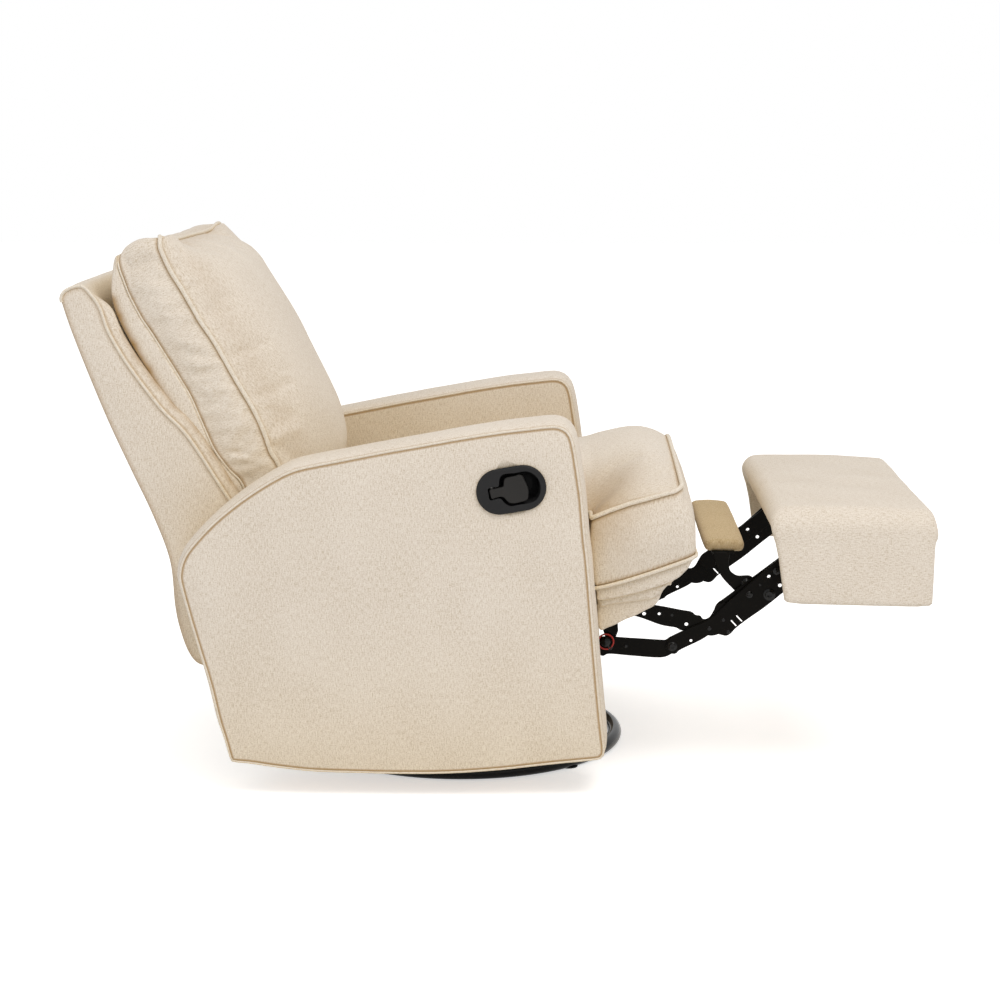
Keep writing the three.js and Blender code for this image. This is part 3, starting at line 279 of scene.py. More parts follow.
# %% [markdown]
# The chair stands on a plain white floor under a large soft lamp, as for a shop's picture. The world and the
# lamps light it at a plain level. The floor and the sky are white only where the camera sees them directly or
# in a reflection, so the white of the picture adds no light to the chair, and its shadow stays.

# %% Camera, light and floor
scene = bpy.context.scene
scene.view_settings.view_transform = "Standard"
CAMERA_PLACE, CAMERA_DOWN, CAMERA_TURN, CAMERA_LENS = (0.09386, -4.0969, 1.14842), 9.797, 1.369, 82.8
SKY_LIGHT, FLOOR_GLOW, FLOOR_SIZE = 0.715, 0.55, 30
CHAIR_MIDDLE = (0, 0, 0.4)


def linked(name, data):
    """A new object, linked into the scene."""
    made = bpy.data.objects.new(name, data)
    scene.collection.objects.link(made)
    return made


camera_data = bpy.data.cameras.new("camera")
camera_data.lens = CAMERA_LENS
camera_data.sensor_width = 36
camera = linked("camera", camera_data)
camera.location = CAMERA_PLACE
camera.rotation_euler = (math.radians(90 - CAMERA_DOWN), 0, math.radians(CAMERA_TURN))
scene.camera = camera


def seen_directly(tree):
    """1 for camera, glossy and transmission rays, 0 for the light that falls on the chair."""
    rays = add(tree, "ShaderNodeLightPath")
    first = add(tree, "ShaderNodeMath", {0: rays.outputs["Is Camera Ray"], 1: rays.outputs["Is Glossy Ray"]},
                operation="MAXIMUM")
    return add(tree, "ShaderNodeMath", {0: first.outputs[0], 1: rays.outputs["Is Transmission Ray"]},
               operation="MAXIMUM").outputs[0]


world = bpy.data.worlds.new("studio")
world.use_nodes = True
world.node_tree.nodes.clear()
sky_light = add(world.node_tree, "ShaderNodeBackground", {"Color": colour("FFFDFA"), "Strength": SKY_LIGHT})
sky_seen = add(world.node_tree, "ShaderNodeBackground", {"Color": colour("FFFFFF"), "Strength": 1.0})
sky = add(world.node_tree, "ShaderNodeMixShader", {
    0: seen_directly(world.node_tree), 1: sky_light.outputs[0], 2: sky_seen.outputs[0]})
add(world.node_tree, "ShaderNodeOutputWorld", {"Surface": sky.outputs[0]})
scene.world = world


def soft_lamp(name, place, size, watts, tint):
    data = bpy.data.lights.new(name, "AREA")
    data.shape = "DISK"
    data.size = size
    data.energy = watts
    data.color = colour(tint)[:3]
    lamp = linked(name, data)
    lamp.location = place
    lamp.rotation_euler = (Vector(CHAIR_MIDDLE) - Vector(place)).to_track_quat("-Z", "Y").to_euler()


soft_lamp("key_softbox", (1.1, -2.1, 3.6), 2.2, 62, "FFFBF5")
soft_lamp("fill_softbox", (-3.0, -2.2, 1.8), 2.4, 10, "FBFCFF")

bpy.ops.mesh.primitive_plane_add(size=FLOOR_SIZE)
floor = bpy.context.object
floor.name = "studio_floor"
floor_material, floor_tree, floor_shader = new_material("matt_white_sweep")
settled(floor_shader, Base_Color=colour("F4F4F4"), Roughness=1.0, Specular_IOR_Level=0.0,
        Emission_Color=colour("FFFFFF"))
floor_glow = add(floor_tree, "ShaderNodeMath", {0: seen_directly(floor_tree), 1: FLOOR_GLOW}, operation="MULTIPLY")
floor_tree.links.new(floor_glow.outputs[0], floor_shader.inputs["Emission Strength"])
floor.data.materials.append(floor_material)
floor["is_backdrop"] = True
print("camera lens:", camera_data.lens, "mm")

# %% [markdown]
# Every soft shape below is drawn first as rows of points in millimetres and only then made a mesh. Each corner
# of each face also says where it lies on its cloth, in metres along the weft and the warp. That map is what
# makes the slubs run down the arms and across the footrest, as the covers are cut.

# %% Making a piece
CURVE_CUTS = 12  # samples between two given points, before they are spaced evenly
WELD_MM, SLIVER_MM = 0.05, 0.001


def gone_along(line):
    """Length from a line's start to each of its points."""
    return np.concatenate([[0], np.cumsum(np.linalg.norm(np.diff(line, axis=0), axis=1))])


def at_stops(line, gone, stops):
    return np.stack([np.interp(stops, gone, line[:, axis]) for axis in range(line.shape[1])], axis=1)


def curve_through(points, count, closed=False):
    """Points spaced evenly along a smooth line through the given ones."""
    anchors = np.asarray(points, float)
    total = len(anchors)
    samples = []
    for span in range(total if closed else total - 1):
        near = [(span + step) % total if closed else min(max(span + step, 0), total - 1) for step in (-1, 0, 1, 2)]
        a, b, c, d = anchors[near]
        for share in np.linspace(0, 1, CURVE_CUTS, endpoint=False):
            s2, s3 = share * share, share ** 3
            samples.append(0.5 * (2 * b + (c - a) * share + (2 * a - 5 * b + 4 * c - d) * s2
                                  + (3 * b - a - 3 * c + d) * s3))
    samples.append(anchors[0] if closed else anchors[-1])
    samples = np.array(samples)
    gone = gone_along(samples)
    return at_stops(samples, gone, np.linspace(0, gone[-1], count, endpoint=not closed))


def at_y(loop, y):
    """A loop in (x, z) as places in space."""
    return [(x, y, z) for x, z in loop]


@contextmanager
def edited(mesh):
    """The mesh opened for edits, and written back after them."""
    work = bmesh.new()
    work.from_mesh(mesh)
    yield work
    work.to_mesh(mesh)
    work.free()


def mesh_piece(name, points_mm, faces, cloth_mm, material):
    """A smooth mesh from points in drawing millimetres. cloth_mm gives (across, along) for each face corner."""
    mesh = bpy.data.meshes.new(name)
    mesh.from_pydata([tuple(p) for p in metres(points_mm)], [], faces)
    if cloth_mm is not None:
        layer = mesh.uv_layers.new(name="cloth")
        flat = np.array([value for face in cloth_mm for corner in face for value in corner], float) * MM
        layer.data.foreach_set("uv", flat)
    mesh.materials.append(material)
    with edited(mesh) as work:
        bmesh.ops.remove_doubles(work, verts=work.verts, dist=WELD_MM * MM)
        bmesh.ops.dissolve_degenerate(work, edges=work.edges, dist=SLIVER_MM * MM)
        bmesh.ops.recalc_face_normals(work, faces=work.faces)
        for face in work.faces:
            face.smooth = True
    return linked(name, mesh)


def applied(piece):
    """The piece with its modifiers made real."""
    graph = bpy.context.evaluated_depsgraph_get()
    finished = bpy.data.meshes.new_from_object(piece.evaluated_get(graph))
    old = piece.data
    piece.modifiers.clear()
    piece.data = finished
    finished.name = piece.name
    bpy.data.meshes.remove(old)
    return piece


def refined(piece):
    step = piece.modifiers.new("finer", "SUBSURF")
    step.levels = step.render_levels = 1
    return applied(piece)


def backed(piece, thick_mm):
    """Give a cover its thickness, inwards."""
    wall = piece.modifiers.new("padding", "SOLIDIFY")
    wall.thickness = thick_mm * MM
    wall.offset = -1
    return applied(piece)


def places(mesh):
    """The mesh's points in drawing millimetres."""
    flat = np.empty(len(mesh.vertices) * 3)
    mesh.vertices.foreach_get("co", flat)
    return flat.reshape(-1, 3) / MM + (AXIS_BEHIND_ORIGIN, 0, 0)


def move_to(piece, points_mm):
    piece.data.vertices.foreach_set("co", metres(points_mm).ravel())
    piece.data.update()


def beside(points, start, end):
    """Each point's share of the way along a line, and its distance from that line."""
    start, end = np.array(start, float), np.array(end, float)
    run = end - start
    share = np.clip(((points - start) @ run) / (run @ run), 0, 1)
    return share, np.linalg.norm(points - (start + share[:, None] * run), axis=1)


def paint_seam_shade(piece, seams_mm, full, gone, strength):
    """Paint shade into the cloth's colour beside its seams, where the crevice by the welt is in shade: full out to one
    distance in mm, nothing past the other.
    """
    points = places(piece.data)
    near = KDTree(sum(len(seam) for seam in seams_mm))
    for number, place in enumerate(place for seam in seams_mm for place in seam):
        near.insert(tuple(place), number)
    near.balance()
    away = np.array([near.find(tuple(p))[2] for p in points])
    shade = piece.data.attributes.new("painted_shade", "FLOAT", "POINT")
    shade.data.foreach_set("value", strength * np.clip((gone - away) / (gone - full), 0, 1))


def paint_hollow_shade(piece, hollows):
    """Paint shade into the colour of hollows where little light reaches. Each is (start, end, width, strength) in
    drawing mm.
    """
    points = places(piece.data)
    shade = np.zeros(len(points))
    held = piece.data.attributes.get("painted_shade")
    if held:
        held.data.foreach_get("value", shade)
    else:
        held = piece.data.attributes.new("painted_shade", "FLOAT", "POINT")
    for start, end, width, strength in hollows:
        _, away = beside(points, start, end)
        shade = 1 - (1 - shade) * (1 - strength * np.exp(-(away / width) ** 2))
    held.data.foreach_set("value", shade)


def both_sides(line, half, width, strength):
    """Hollows of painted shade along a line in (x, z), on both sides of a piece."""
    return [((a[0], side * half, a[1]), (b[0], side * half, b[1]), width, strength)
            for side in (-1, 1) for a, b in zip(line, line[1:])]


def wrinkled(piece, folds):
    """Press folds into the surface. Each is (start, end, width, rise) in drawing mm; a negative rise is a dip."""
    points = places(piece.data)
    shift = np.zeros(len(points))
    for start, end, width, rise in folds:
        share, away = beside(points, start, end)
        taper = np.clip(np.minimum(share, 1 - share) * 4, 0, 1) ** 0.5 * 0.85 + 0.15
        shift += rise * taper * np.exp(-(away / width) ** 2)
    normals = np.empty(points.size)
    piece.data.vertices.foreach_get("normal", normals)
    move_to(piece, points + normals.reshape(-1, 3) * shift[:, None])


def dress(piece, body, stands_for=()):
    """What every finished piece needs: the body it rides on and the nodes it stands for."""
    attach(piece, body)
    if stands_for:
        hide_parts(*stands_for)
    triangles = sum(len(face.vertices) - 2 for face in piece.data.polygons)
    print(f"{piece.name}: {triangles} triangles on {body}")
    return piece


def rows_round(rows, columns, base=0, shut=False):
    """Quads over rows of points, each row a closed loop. If shut, the last row joins the first again."""
    return [(base + r * columns + c, base + r * columns + (c + 1) % columns,
             base + (r + 1) % rows * columns + (c + 1) % columns, base + (r + 1) % rows * columns + c)
            for r in range(rows if shut else rows - 1) for c in range(columns)]


def strip_round(across, gone, lap, base=0):
    """Faces and cloth places of a strip round a closed loop. across gives each row's place on the cloth, gone
    the length from the loop's start to each of its points, lap the length all the way round."""
    faces = rows_round(len(across), len(gone), base)
    cloth = []
    for face in faces:
        row, step = divmod(face[0] - base, len(gone))
        ahead = gone[step + 1] if step + 1 < len(gone) else lap
        here, after = across[row], across[row + 1]
        cloth.append([(here, gone[step]), (here, ahead), (after, ahead), (after, gone[step])])
    return faces, cloth


def lay_flat(faces, cloth, flat, triangles, base, shift=0.0):
    """Add a flat panel's triangles, and their places on the cloth, moved by shift."""
    faces += [tuple(base + k for k in face) for face in triangles]
    cloth += [[(flat[k][0] + shift, flat[k][1]) for k in face] for face in triangles]


def ring_of_tube(radius, tube, sections, count):
    """Points of a ring of tube round the origin, flat in x and y, and its faces."""
    points = [((radius + tube * math.cos(b)) * math.cos(a), (radius + tube * math.cos(b)) * math.sin(a),
               tube * math.sin(b))
              for a in np.linspace(0, math.tau, sections, endpoint=False)
              for b in np.linspace(0, math.tau, count, endpoint=False)]
    return points, rows_round(sections, count, shut=True)


# %% [markdown]
# A welt is a cord wrapped in a bias strip of the cover and sewn into a seam. Here a Geometry Nodes tree sweeps
# a small circle along the seam's line. The same tree serves every seam, with the cord's radius as its input,
# and it also writes the cloth map from the length along the seam.

# %% The welt tree
WELT_WANDER_MM = 0.5


def welt_tree():
    tree = bpy.data.node_groups.new("sewn_welt", "GeometryNodeTree")
    face = tree.interface
    face.new_socket("Seam", in_out="INPUT", socket_type="NodeSocketGeometry")
    for label, value in (("Radius", 0.003), ("Wander", 0.0004)):
        face.new_socket(label, in_out="INPUT", socket_type="NodeSocketFloat").default_value = value
    face.new_socket("Sides", in_out="INPUT", socket_type="NodeSocketInt").default_value = 10
    face.new_socket("Cover", in_out="INPUT", socket_type="NodeSocketMaterial")
    face.new_socket("Welt", in_out="OUTPUT", socket_type="NodeSocketGeometry")
    inputs = add(tree, "NodeGroupInput").outputs
    line = add(tree, "GeometryNodeMeshToCurve", {"Mesh": inputs["Seam"]})
    place = add(tree, "GeometryNodeInputPosition")
    rough = add(tree, "ShaderNodeTexNoise", {"Vector": place.outputs[0], "Scale": 28.0, "Detail": 1.0})
    centred = add(tree, "ShaderNodeVectorMath", {0: rough.outputs[1], 1: (0.5, 0.5, 0.5)}, operation="SUBTRACT")
    shift = add(tree, "ShaderNodeVectorMath", {0: centred.outputs[0], "Scale": inputs["Wander"]}, operation="SCALE")
    moved = add(tree, "GeometryNodeSetPosition", {"Geometry": line.outputs[0], "Offset": shift.outputs[0]})
    length = add(tree, "GeometryNodeSplineParameter")
    kept = add(tree, "GeometryNodeCaptureAttribute", {"Geometry": moved.outputs[0]})
    kept.capture_items.new("FLOAT", "Length")
    tree.links.new(length.outputs["Length"], kept.inputs["Length"])
    ring = add(tree, "GeometryNodeCurvePrimitiveCircle", {"Resolution": inputs["Sides"], "Radius": inputs["Radius"]})
    turn = add(tree, "GeometryNodeCaptureAttribute", {"Geometry": ring.outputs[0]})
    turn.capture_items.new("FLOAT", "Turn")
    part_way = add(tree, "GeometryNodeSplineParameter")
    tree.links.new(part_way.outputs["Length"], turn.inputs["Turn"])
    skin = add(tree, "GeometryNodeCurveToMesh", {
        "Curve": kept.outputs[0], "Profile Curve": turn.outputs[0], "Fill Caps": True})
    cloth = add(tree, "ShaderNodeCombineXYZ", {"X": turn.outputs["Turn"], "Y": kept.outputs["Length"]})
    mapped = add(tree, "GeometryNodeStoreNamedAttribute", {
        "Geometry": skin.outputs[0], "Name": "cloth", "Value": cloth.outputs[0]},
        data_type="FLOAT2", domain="CORNER")
    smooth = add(tree, "GeometryNodeSetShadeSmooth", {"Geometry": mapped.outputs[0]})
    covered = add(tree, "GeometryNodeSetMaterial", {"Geometry": smooth.outputs[0], "Material": inputs["Cover"]})
    real = add(tree, "GeometryNodeRealizeInstances", {"Geometry": covered.outputs[0]})
    add(tree, "NodeGroupOutput", {0: real.outputs[0]})
    return tree


WELT_TREE = welt_tree()
SOCKETS = {item.name: item.identifier for item in WELT_TREE.interface.items_tree if item.in_out == "INPUT"}


def welts(name, seams_mm, body, radius, closed=True):
    """One piece for a set of seams. Each seam is a row of points in drawing millimetres."""
    points, edges = [], []
    for seam in seams_mm:
        base = len(points)
        points += [tuple(p) for p in metres(seam)]
        edges += [(base + k, base + k + 1) for k in range(len(seam) - 1)]
        if closed:
            edges.append((base + len(seam) - 1, base))
    mesh = bpy.data.meshes.new(name)
    mesh.from_pydata(points, edges, [])
    made = linked(name, mesh)
    step = made.modifiers.new("welt", "NODES")
    step.node_group = WELT_TREE
    for label, value in (("Radius", radius * MM), ("Wander", WELT_WANDER_MM * MM), ("Cover", WELT)):
        step[SOCKETS[label]] = value
    made.update_tag()
    dress(applied(made), body)


print("welt inputs:", ", ".join(SOCKETS))

# %% [markdown]
# Each arm is a plywood box under padding. A flat panel covers each face, a boxing strip runs round between
# them, and a welt closes each panel's edge. The strip is padded at the front, top and rear, where it stands
# about 11 mm proud of the welts. The panel is filled with triangles between its edge and a grid inside,
# so that it can swell gently and the round hole for the handle's cup can be cut in it.

# %% Outline of the arms
ARM_OUTER_Y, ARM_INNER_Y = 381.0, 269.0
ARM_SEAM = [
    (-372, 62), (-343, 59), (-309, 54), (-259, 48), (-225, 45.5), (-163, 44), (-91, 43), (-7, 44.5), (77, 51),
    (160, 61), (217, 67), (243, 70.5), (248, 78), (248, 90), (244, 123), (239, 172), (234, 226), (227, 306),
    (219, 400), (214, 441), (209, 499), (205, 531), (199, 570), (196, 588), (191, 608), (184, 619), (173, 625),
    (158, 626), (126, 622.5), (77, 616.5), (11, 606), (-54, 594), (-120, 582), (-185, 569), (-245, 557), (-270, 549),
    (-301, 533), (-334, 512), (-368, 487), (-401, 458), (-433, 423), (-446, 402), (-451, 384), (-451, 366),
    (-438, 312), (-421, 249), (-405, 191), (-392, 132), (-383, 100), (-375, 70),
]
ARM_STEPS = 288
arm_seam = curve_through(ARM_SEAM, ARM_STEPS, closed=True)


def area_of(loop):
    x, z = loop[:, 0], loop[:, 1]
    return 0.5 * np.sum(x * np.roll(z, -1) - np.roll(x, -1) * z)


def outward_of(loop):
    """Unit normals of a closed loop, pointing out of it, smoothed a little."""
    run = np.roll(loop, -1, 0) - np.roll(loop, 1, 0)
    run /= np.linalg.norm(run, axis=1, keepdims=True)
    out = np.stack([run[:, 1], -run[:, 0]], axis=1) * (1 if area_of(loop) > 0 else -1)
    for _ in range(2):
        out = out + np.roll(out, 1, 0) + np.roll(out, -1, 0)
        out /= np.linalg.norm(out, axis=1, keepdims=True)
    return out


def distance_to(points, loop):
    """Distance of each point to the nearest side of a closed loop."""
    start, run = loop, np.roll(loop, -1, 0) - loop
    length = np.maximum((run ** 2).sum(1), 1e-9)
    away = np.full(len(points), 1e9)
    for a, d, l2 in zip(start, run, length):
        share = np.clip(((points - a) @ d) / l2, 0, 1)[:, None]
        away = np.minimum(away, np.linalg.norm(points - (a + share * d), axis=1))
    return away


def inside_loop(points, loop):
    """Which points lie inside a closed loop."""
    hit = np.zeros(len(points), bool)
    for (x1, z1), (x2, z2) in zip(loop, np.roll(loop, -1, 0)):
        cross = (z1 > points[:, 1]) != (z2 > points[:, 1])
        hit ^= cross & (points[:, 0] < (x2 - x1) * (points[:, 1] - z1) / ((z2 - z1) or 1e-9) + x1)
    return hit


def filled_panel(edge, hole=None, pitch=13.0, bands=(4.0, 10.0, 19.0), hole_bands=(4.0, 10.0)):
    """Flat triangles inside a closed edge, finer by the edge, with an optional hole."""
    out = outward_of(edge)
    loops = [edge] + [(edge - out * inset)[::2 if inset > 6 else 1] for inset in bands]
    points = [loops[0]]
    sides = [(k, (k + 1) % len(edge)) for k in range(len(edge))]
    if hole is not None:
        base = len(edge)
        points.append(hole)
        sides += [(base + k, base + (k + 1) % len(hole)) for k in range(len(hole))]
        hole_out = outward_of(hole)
        points += [hole + hole_out * reach for reach in hole_bands]
    points += loops[1:1 + len(bands)]
    low, high = edge.min(0), edge.max(0)
    across, up = np.meshgrid(np.arange(low[0], high[0], pitch), np.arange(low[1], high[1], pitch))
    across[::2] += pitch / 2
    middle = np.stack([across.ravel(), up.ravel()], axis=1)
    middle = middle[inside_loop(middle, edge)]
    middle = middle[distance_to(middle, edge) > (bands[-1] if bands else 0) + pitch * 0.6]
    if hole is not None:
        reach = (hole_bands[-1] if hole_bands else 0) + pitch * 0.6
        middle = middle[~inside_loop(middle, hole) & (distance_to(middle, hole) > reach)]
    points.append(middle)
    every = np.concatenate(points)
    found = geometry.delaunay_2d_cdt([Vector(p) for p in every], sides, [], 0, 1e-5)
    made = np.array([tuple(p) for p in found[0]])
    faces = [tuple(face) for face in found[2]]
    centres = np.array([made[list(face)].mean(0) for face in faces])
    keep = inside_loop(centres, edge)
    if hole is not None:
        keep &= ~inside_loop(centres, hole)
    return made, [face for face, wanted in zip(faces, keep) if wanted]


def spread(values, times):
    """Smooth a closed row of numbers by passing over it several times."""
    values = np.array(values, float)
    for _ in range(times):
        values = (np.roll(values, 1, 0) + values + np.roll(values, -1, 0)) / 3
    return values


def soft_noise(x, y, z, size_mm, seed=0.0):
    """Smooth seeded noise from -1 to 1, with bumps about size_mm wide."""
    return noise.noise(Vector((x / size_mm + seed, y / size_mm - seed, z / size_mm + 2 * seed)))


print("arm seam:", ARM_STEPS, "points, area", round(abs(area_of(arm_seam)) / 1e4) / 100, "square metres")

# %% The arm covers
HANDLE_X, HANDLE_Z, HANDLE_TILT, HANDLE_LONG, HANDLE_HIGH = 95.0, 524.0, math.radians(10), 115.0, 75.0


def stadium(grow):
    """The handle's outline in (x, z), grown or shrunk all round."""
    radius = HANDLE_HIGH / 2 + grow
    run = (HANDLE_LONG - HANDLE_HIGH) / 2
    turn = np.linspace(-math.pi / 2, math.pi / 2, 36)
    right = np.stack([run + radius * np.cos(turn), radius * np.sin(turn)], axis=1)
    across, up = np.concatenate([right, -right]).T
    c, s = math.cos(HANDLE_TILT), math.sin(HANDLE_TILT)
    return np.stack([HANDLE_X + across * c - up * s, HANDLE_Z + across * s + up * c], axis=1)


BAND_SHARES = [0, 0.022, 0.06, 0.11, 0.17, 0.25, 0.34, 0.45, 0.55, 0.66, 0.75, 0.83, 0.89, 0.94, 0.978, 1]
PANEL_BANDS = (2.6, 5.2, 10.0, 19.0)
OUTER_SWELL, INNER_SWELL, SWELL_FADE, WELT_PROUD = 3.4, 2.2, 26, 1.2
# Where strips and panels start on the cloth in mm, so that neighbours show different streaks
BAND_CLOTH_AT, BLOCK_CLOTH_AT, BACK_CLOTH_AT, REAR_PANEL_AT, BOXING_AT = 500, 700, 300, 2000, 4000
arm_out = outward_of(arm_seam)
upward = np.clip(arm_out[:, 1], -1, 1)
# The strip's padding in mm: full at the front, top and rear, almost none under the arm
arm_crown = spread(np.interp(upward, [-1, -0.6, -0.2, 1], [0.6, 1.2, 11.0, 11.0]), 12)
arm_gone = gone_along(arm_seam)


def arm_cover(word, side):
    points, faces, cloth = [], [], []
    cup = stadium(-3.0) if side < 0 else None
    for place_y, swell, hole, way in ((ARM_OUTER_Y, OUTER_SWELL, cup, 1), (ARM_INNER_Y, INNER_SWELL, None, -1)):
        flat, triangles = filled_panel(arm_seam, hole, bands=PANEL_BANDS)
        from_edge = distance_to(flat, arm_seam)
        rise = swell * (1 - np.exp(-from_edge / SWELL_FADE))
        if hole is not None:
            rise = rise * (1 - 0.45 * np.exp(-(distance_to(flat, hole) / 30) ** 2))
        lay_flat(faces, cloth, flat, triangles, len(points), place_y)
        for (x, z), lift, edge in zip(flat, rise, from_edge):
            wave = soft_noise(x, place_y, z, 130, 3.7) * 1.3 * min(1, edge / 40)
            points.append((x, side * (place_y + way * (lift + wave)), z))
    base = len(points)
    for share in BAND_SHARES:
        profile = (1 - abs(2 * share - 1) ** 3.4) ** 0.8
        y = ARM_OUTER_Y + (ARM_INNER_Y - ARM_OUTER_Y) * share
        for (x, z), (ox, oz), crown in zip(arm_seam, arm_out, arm_crown):
            lift = profile * (crown + 0.9 * soft_noise(x, y, z, 60, 1.3))
            points.append((x + ox * lift, side * y, z + oz * lift))
    # The strip lies apart from the panels on the cloth, and is open underneath between the rails
    across = [BAND_CLOTH_AT + share * (ARM_OUTER_Y - ARM_INNER_Y) for share in BAND_SHARES]
    strip = strip_round(across, arm_gone, arm_gone[-1] + arm_gone[1], base)
    for face, where in zip(*strip):
        row, step = divmod(face[0] - base, ARM_STEPS)
        if not (upward[step] < -0.8 and -350 < arm_seam[step][0] < 225 and 3 <= row < len(BAND_SHARES) - 4):
            faces.append(face)
            cloth.append(where)
    made = backed(mesh_piece(f"arm_upholstery_{word}", points, faces, cloth, CREAM), thick_mm=4)
    # Painted shade on the panels, in the crevice beside each arm welt.
    paint_seam_shade(made, [at_y(arm_seam, side * y) for y in (ARM_OUTER_Y, ARM_INNER_Y)], full=2.7, gone=4.6, strength=0.75)
    dress(made, "carriage", [f"arm_cover_{word}"])
    welt_line = arm_seam + arm_out * WELT_PROUD
    welts(f"arm_welts_{word}", [at_y(welt_line, side * y) for y in (ARM_OUTER_Y - 0.6, ARM_INNER_Y + 0.6)],
          "carriage", radius=1.9)


for word, side in SIDES:
    arm_cover(word, side)

# %% [markdown]
# The back is a padded box with a welt along the front and top of each side. Ahead of the welt the cover rolls in
# towards a soft slab, and the big back cushion leans on that slab. A padded block with rounded edges serves for
# the slab, the apron and the calf pad: a loop drawn from the side, carried across, drawn in towards both ends.

# %% Padded blocks
def padded_block(name, loop, low_y, high_y, edge, swell, wave, seed, material=CREAM, pitch=13.0):
    """A closed loop in (x, z) carried from low_y to high_y, rounded by edge at both ends, swollen between."""
    out = outward_of(loop)
    gone = gone_along(loop)
    middle, half = (low_y + high_y) / 2, (high_y - low_y) / 2
    bend = np.linspace(0, math.pi / 2, 6)
    inner = np.linspace(-half + edge, half - edge, max(3, int(2 * (half - edge) / 16)))[1:-1]
    rows = ([(-half + edge * (1 - math.cos(a)), edge * (1 - math.sin(a))) for a in bend]
            + [(y, 0.0) for y in inner]
            + [(half - edge * (1 - math.cos(a)), edge * (1 - math.sin(a))) for a in bend[::-1]])
    points = []
    for y, inset in rows:
        lift = swell * (1 - (y / half) ** 2) ** 0.5 if abs(y) < half else 0.0
        for (x, z), (ox, oz) in zip(loop, out):
            wander = wave * soft_noise(x, y, z, 70, seed) * min(1, lift / max(swell, 1e-6))
            points.append((x + ox * (lift + wander - inset), middle + y, z + oz * (lift + wander - inset)))
    lap = gone[-1] + np.linalg.norm(loop[-1] - loop[0])
    faces, cloth = strip_round([y + BLOCK_CLOTH_AT for y, _ in rows], gone, lap)
    cap = loop - out * edge
    flat, triangles = filled_panel(cap, pitch=pitch, bands=(3.0, 8.0))
    for y, way in ((rows[0][0], -1), (rows[-1][0], 1)):
        lay_flat(faces, cloth, flat, triangles, len(points))
        points += [(x, middle + y + way * 2.0 * (1 - math.exp(-lift / 20)), z)
                   for (x, z), lift in zip(flat, distance_to(flat, cap))]
    return refined(mesh_piece(name, points, faces, cloth, material))


# %% The back's cover and slab
BACK_HALF = 260.0
BACK_SEAM = [
    (-627, 846), (-650, 841), (-662, 828), (-658, 808), (-644, 764), (-616, 688), (-586, 612), (-552, 535),
    (-517, 457), (-490, 379), (-483, 301), (-476, 262), (-463, 222), (-446, 199), (-420, 194), (-395, 197),
    (-366, 212), (-345, 237), (-328, 300), (-330, 370), (-347, 430), (-388, 488), (-453, 591), (-499, 641),
    (-551, 712), (-583, 768), (-598, 811), (-612, 832),
]
BACK_STEPS = 240
FRONT_ROLL, FRONT_ROLL_IN = 19, 14  # how far the cover rolls out at the front, and within what distance
back_seam = curve_through(BACK_SEAM, BACK_STEPS, closed=True)
back_out = outward_of(back_seam)
back_gone = gone_along(back_seam)


def seam_index(x, z):
    return int(np.argmin(((back_seam - (x, z)) ** 2).sum(1)))


front_from, front_to = sorted((seam_index(-345, 237), seam_index(-598, 811)))
is_front = np.zeros(BACK_STEPS)
is_front[front_from:front_to + 1] = 1
front_share = np.clip(spread(is_front, 6), 0, 1)
rear_lift = spread(np.where(is_front > 0, 0, np.where(back_out[:, 1] > 0.5, 3.0, 7.0)), 10)

points = []
rows = [BACK_HALF - r for r in (0, 1.2, 3.6, 7, 11, 14, 16, 17, 17.6, 18.2, 30, 50, 80, 120, 170, 220, 260)]
rows = rows + [-y for y in rows[-2::-1]]
for y in rows:
    inward = BACK_HALF - abs(y)
    turn = min(inward / FRONT_ROLL_IN, 1.0) * math.pi / 2
    roll = max(FRONT_ROLL * math.sin(turn) - 7 * max(0, inward - FRONT_ROLL_IN), -6.0)
    crown = 1 - (abs(y) / BACK_HALF) ** 6
    for (x, z), (ox, oz), share, lift in zip(back_seam, back_out, front_share, rear_lift):
        wave = 1.6 * soft_noise(x, y, z, 110, 5.1) * crown
        up = share * roll + (1 - share) * (lift * crown + wave)
        points.append((x + ox * up, y, z + oz * up))
faces, cloth = strip_round([y + BACK_CLOTH_AT for y in rows], back_gone, back_gone[-1] + 12)
flat, triangles = filled_panel(back_seam)
for side in (-1, 1):
    lay_flat(faces, cloth, flat, triangles, len(points))
    points += [(x, side * (BACK_HALF + 2.6 * (1 - math.exp(-edge / 24))
                           + 1.1 * soft_noise(x, side * 90, z, 120, 2.2) * min(1, edge / 30)), z)
               for (x, z), edge in zip(flat, distance_to(flat, back_seam))]
back_shell = backed(mesh_piece("back_upholstery", points, faces, cloth, CREAM), thick_mm=3)
# Painted shade beside the wing's welts, and down the wing's front face, which lies in shade beside the back cushion.
paint_seam_shade(back_shell, [at_y(back_seam, side * BACK_HALF) for side in (-1, 1)], full=2.8, gone=5.5, strength=0.5)
wing_face = (back_seam + back_out * 15)[front_from + 30:front_to - 4:8]
paint_hollow_shade(back_shell, both_sides(wing_face, half=BACK_HALF - 17, width=9, strength=0.6))
dress(back_shell, "back", ["back_cover"])
# The wing's welt runs from the cover's lower front corner up and over to its top rear corner
wing_edge = np.concatenate([back_seam[front_from:], back_seam[:seam_index(-661, 822) + 1]])
welts("back_side_welts", [at_y(wing_edge, side * (BACK_HALF + 0.4)) for side in (-1, 1)], "back", radius=2.8,
      closed=False)

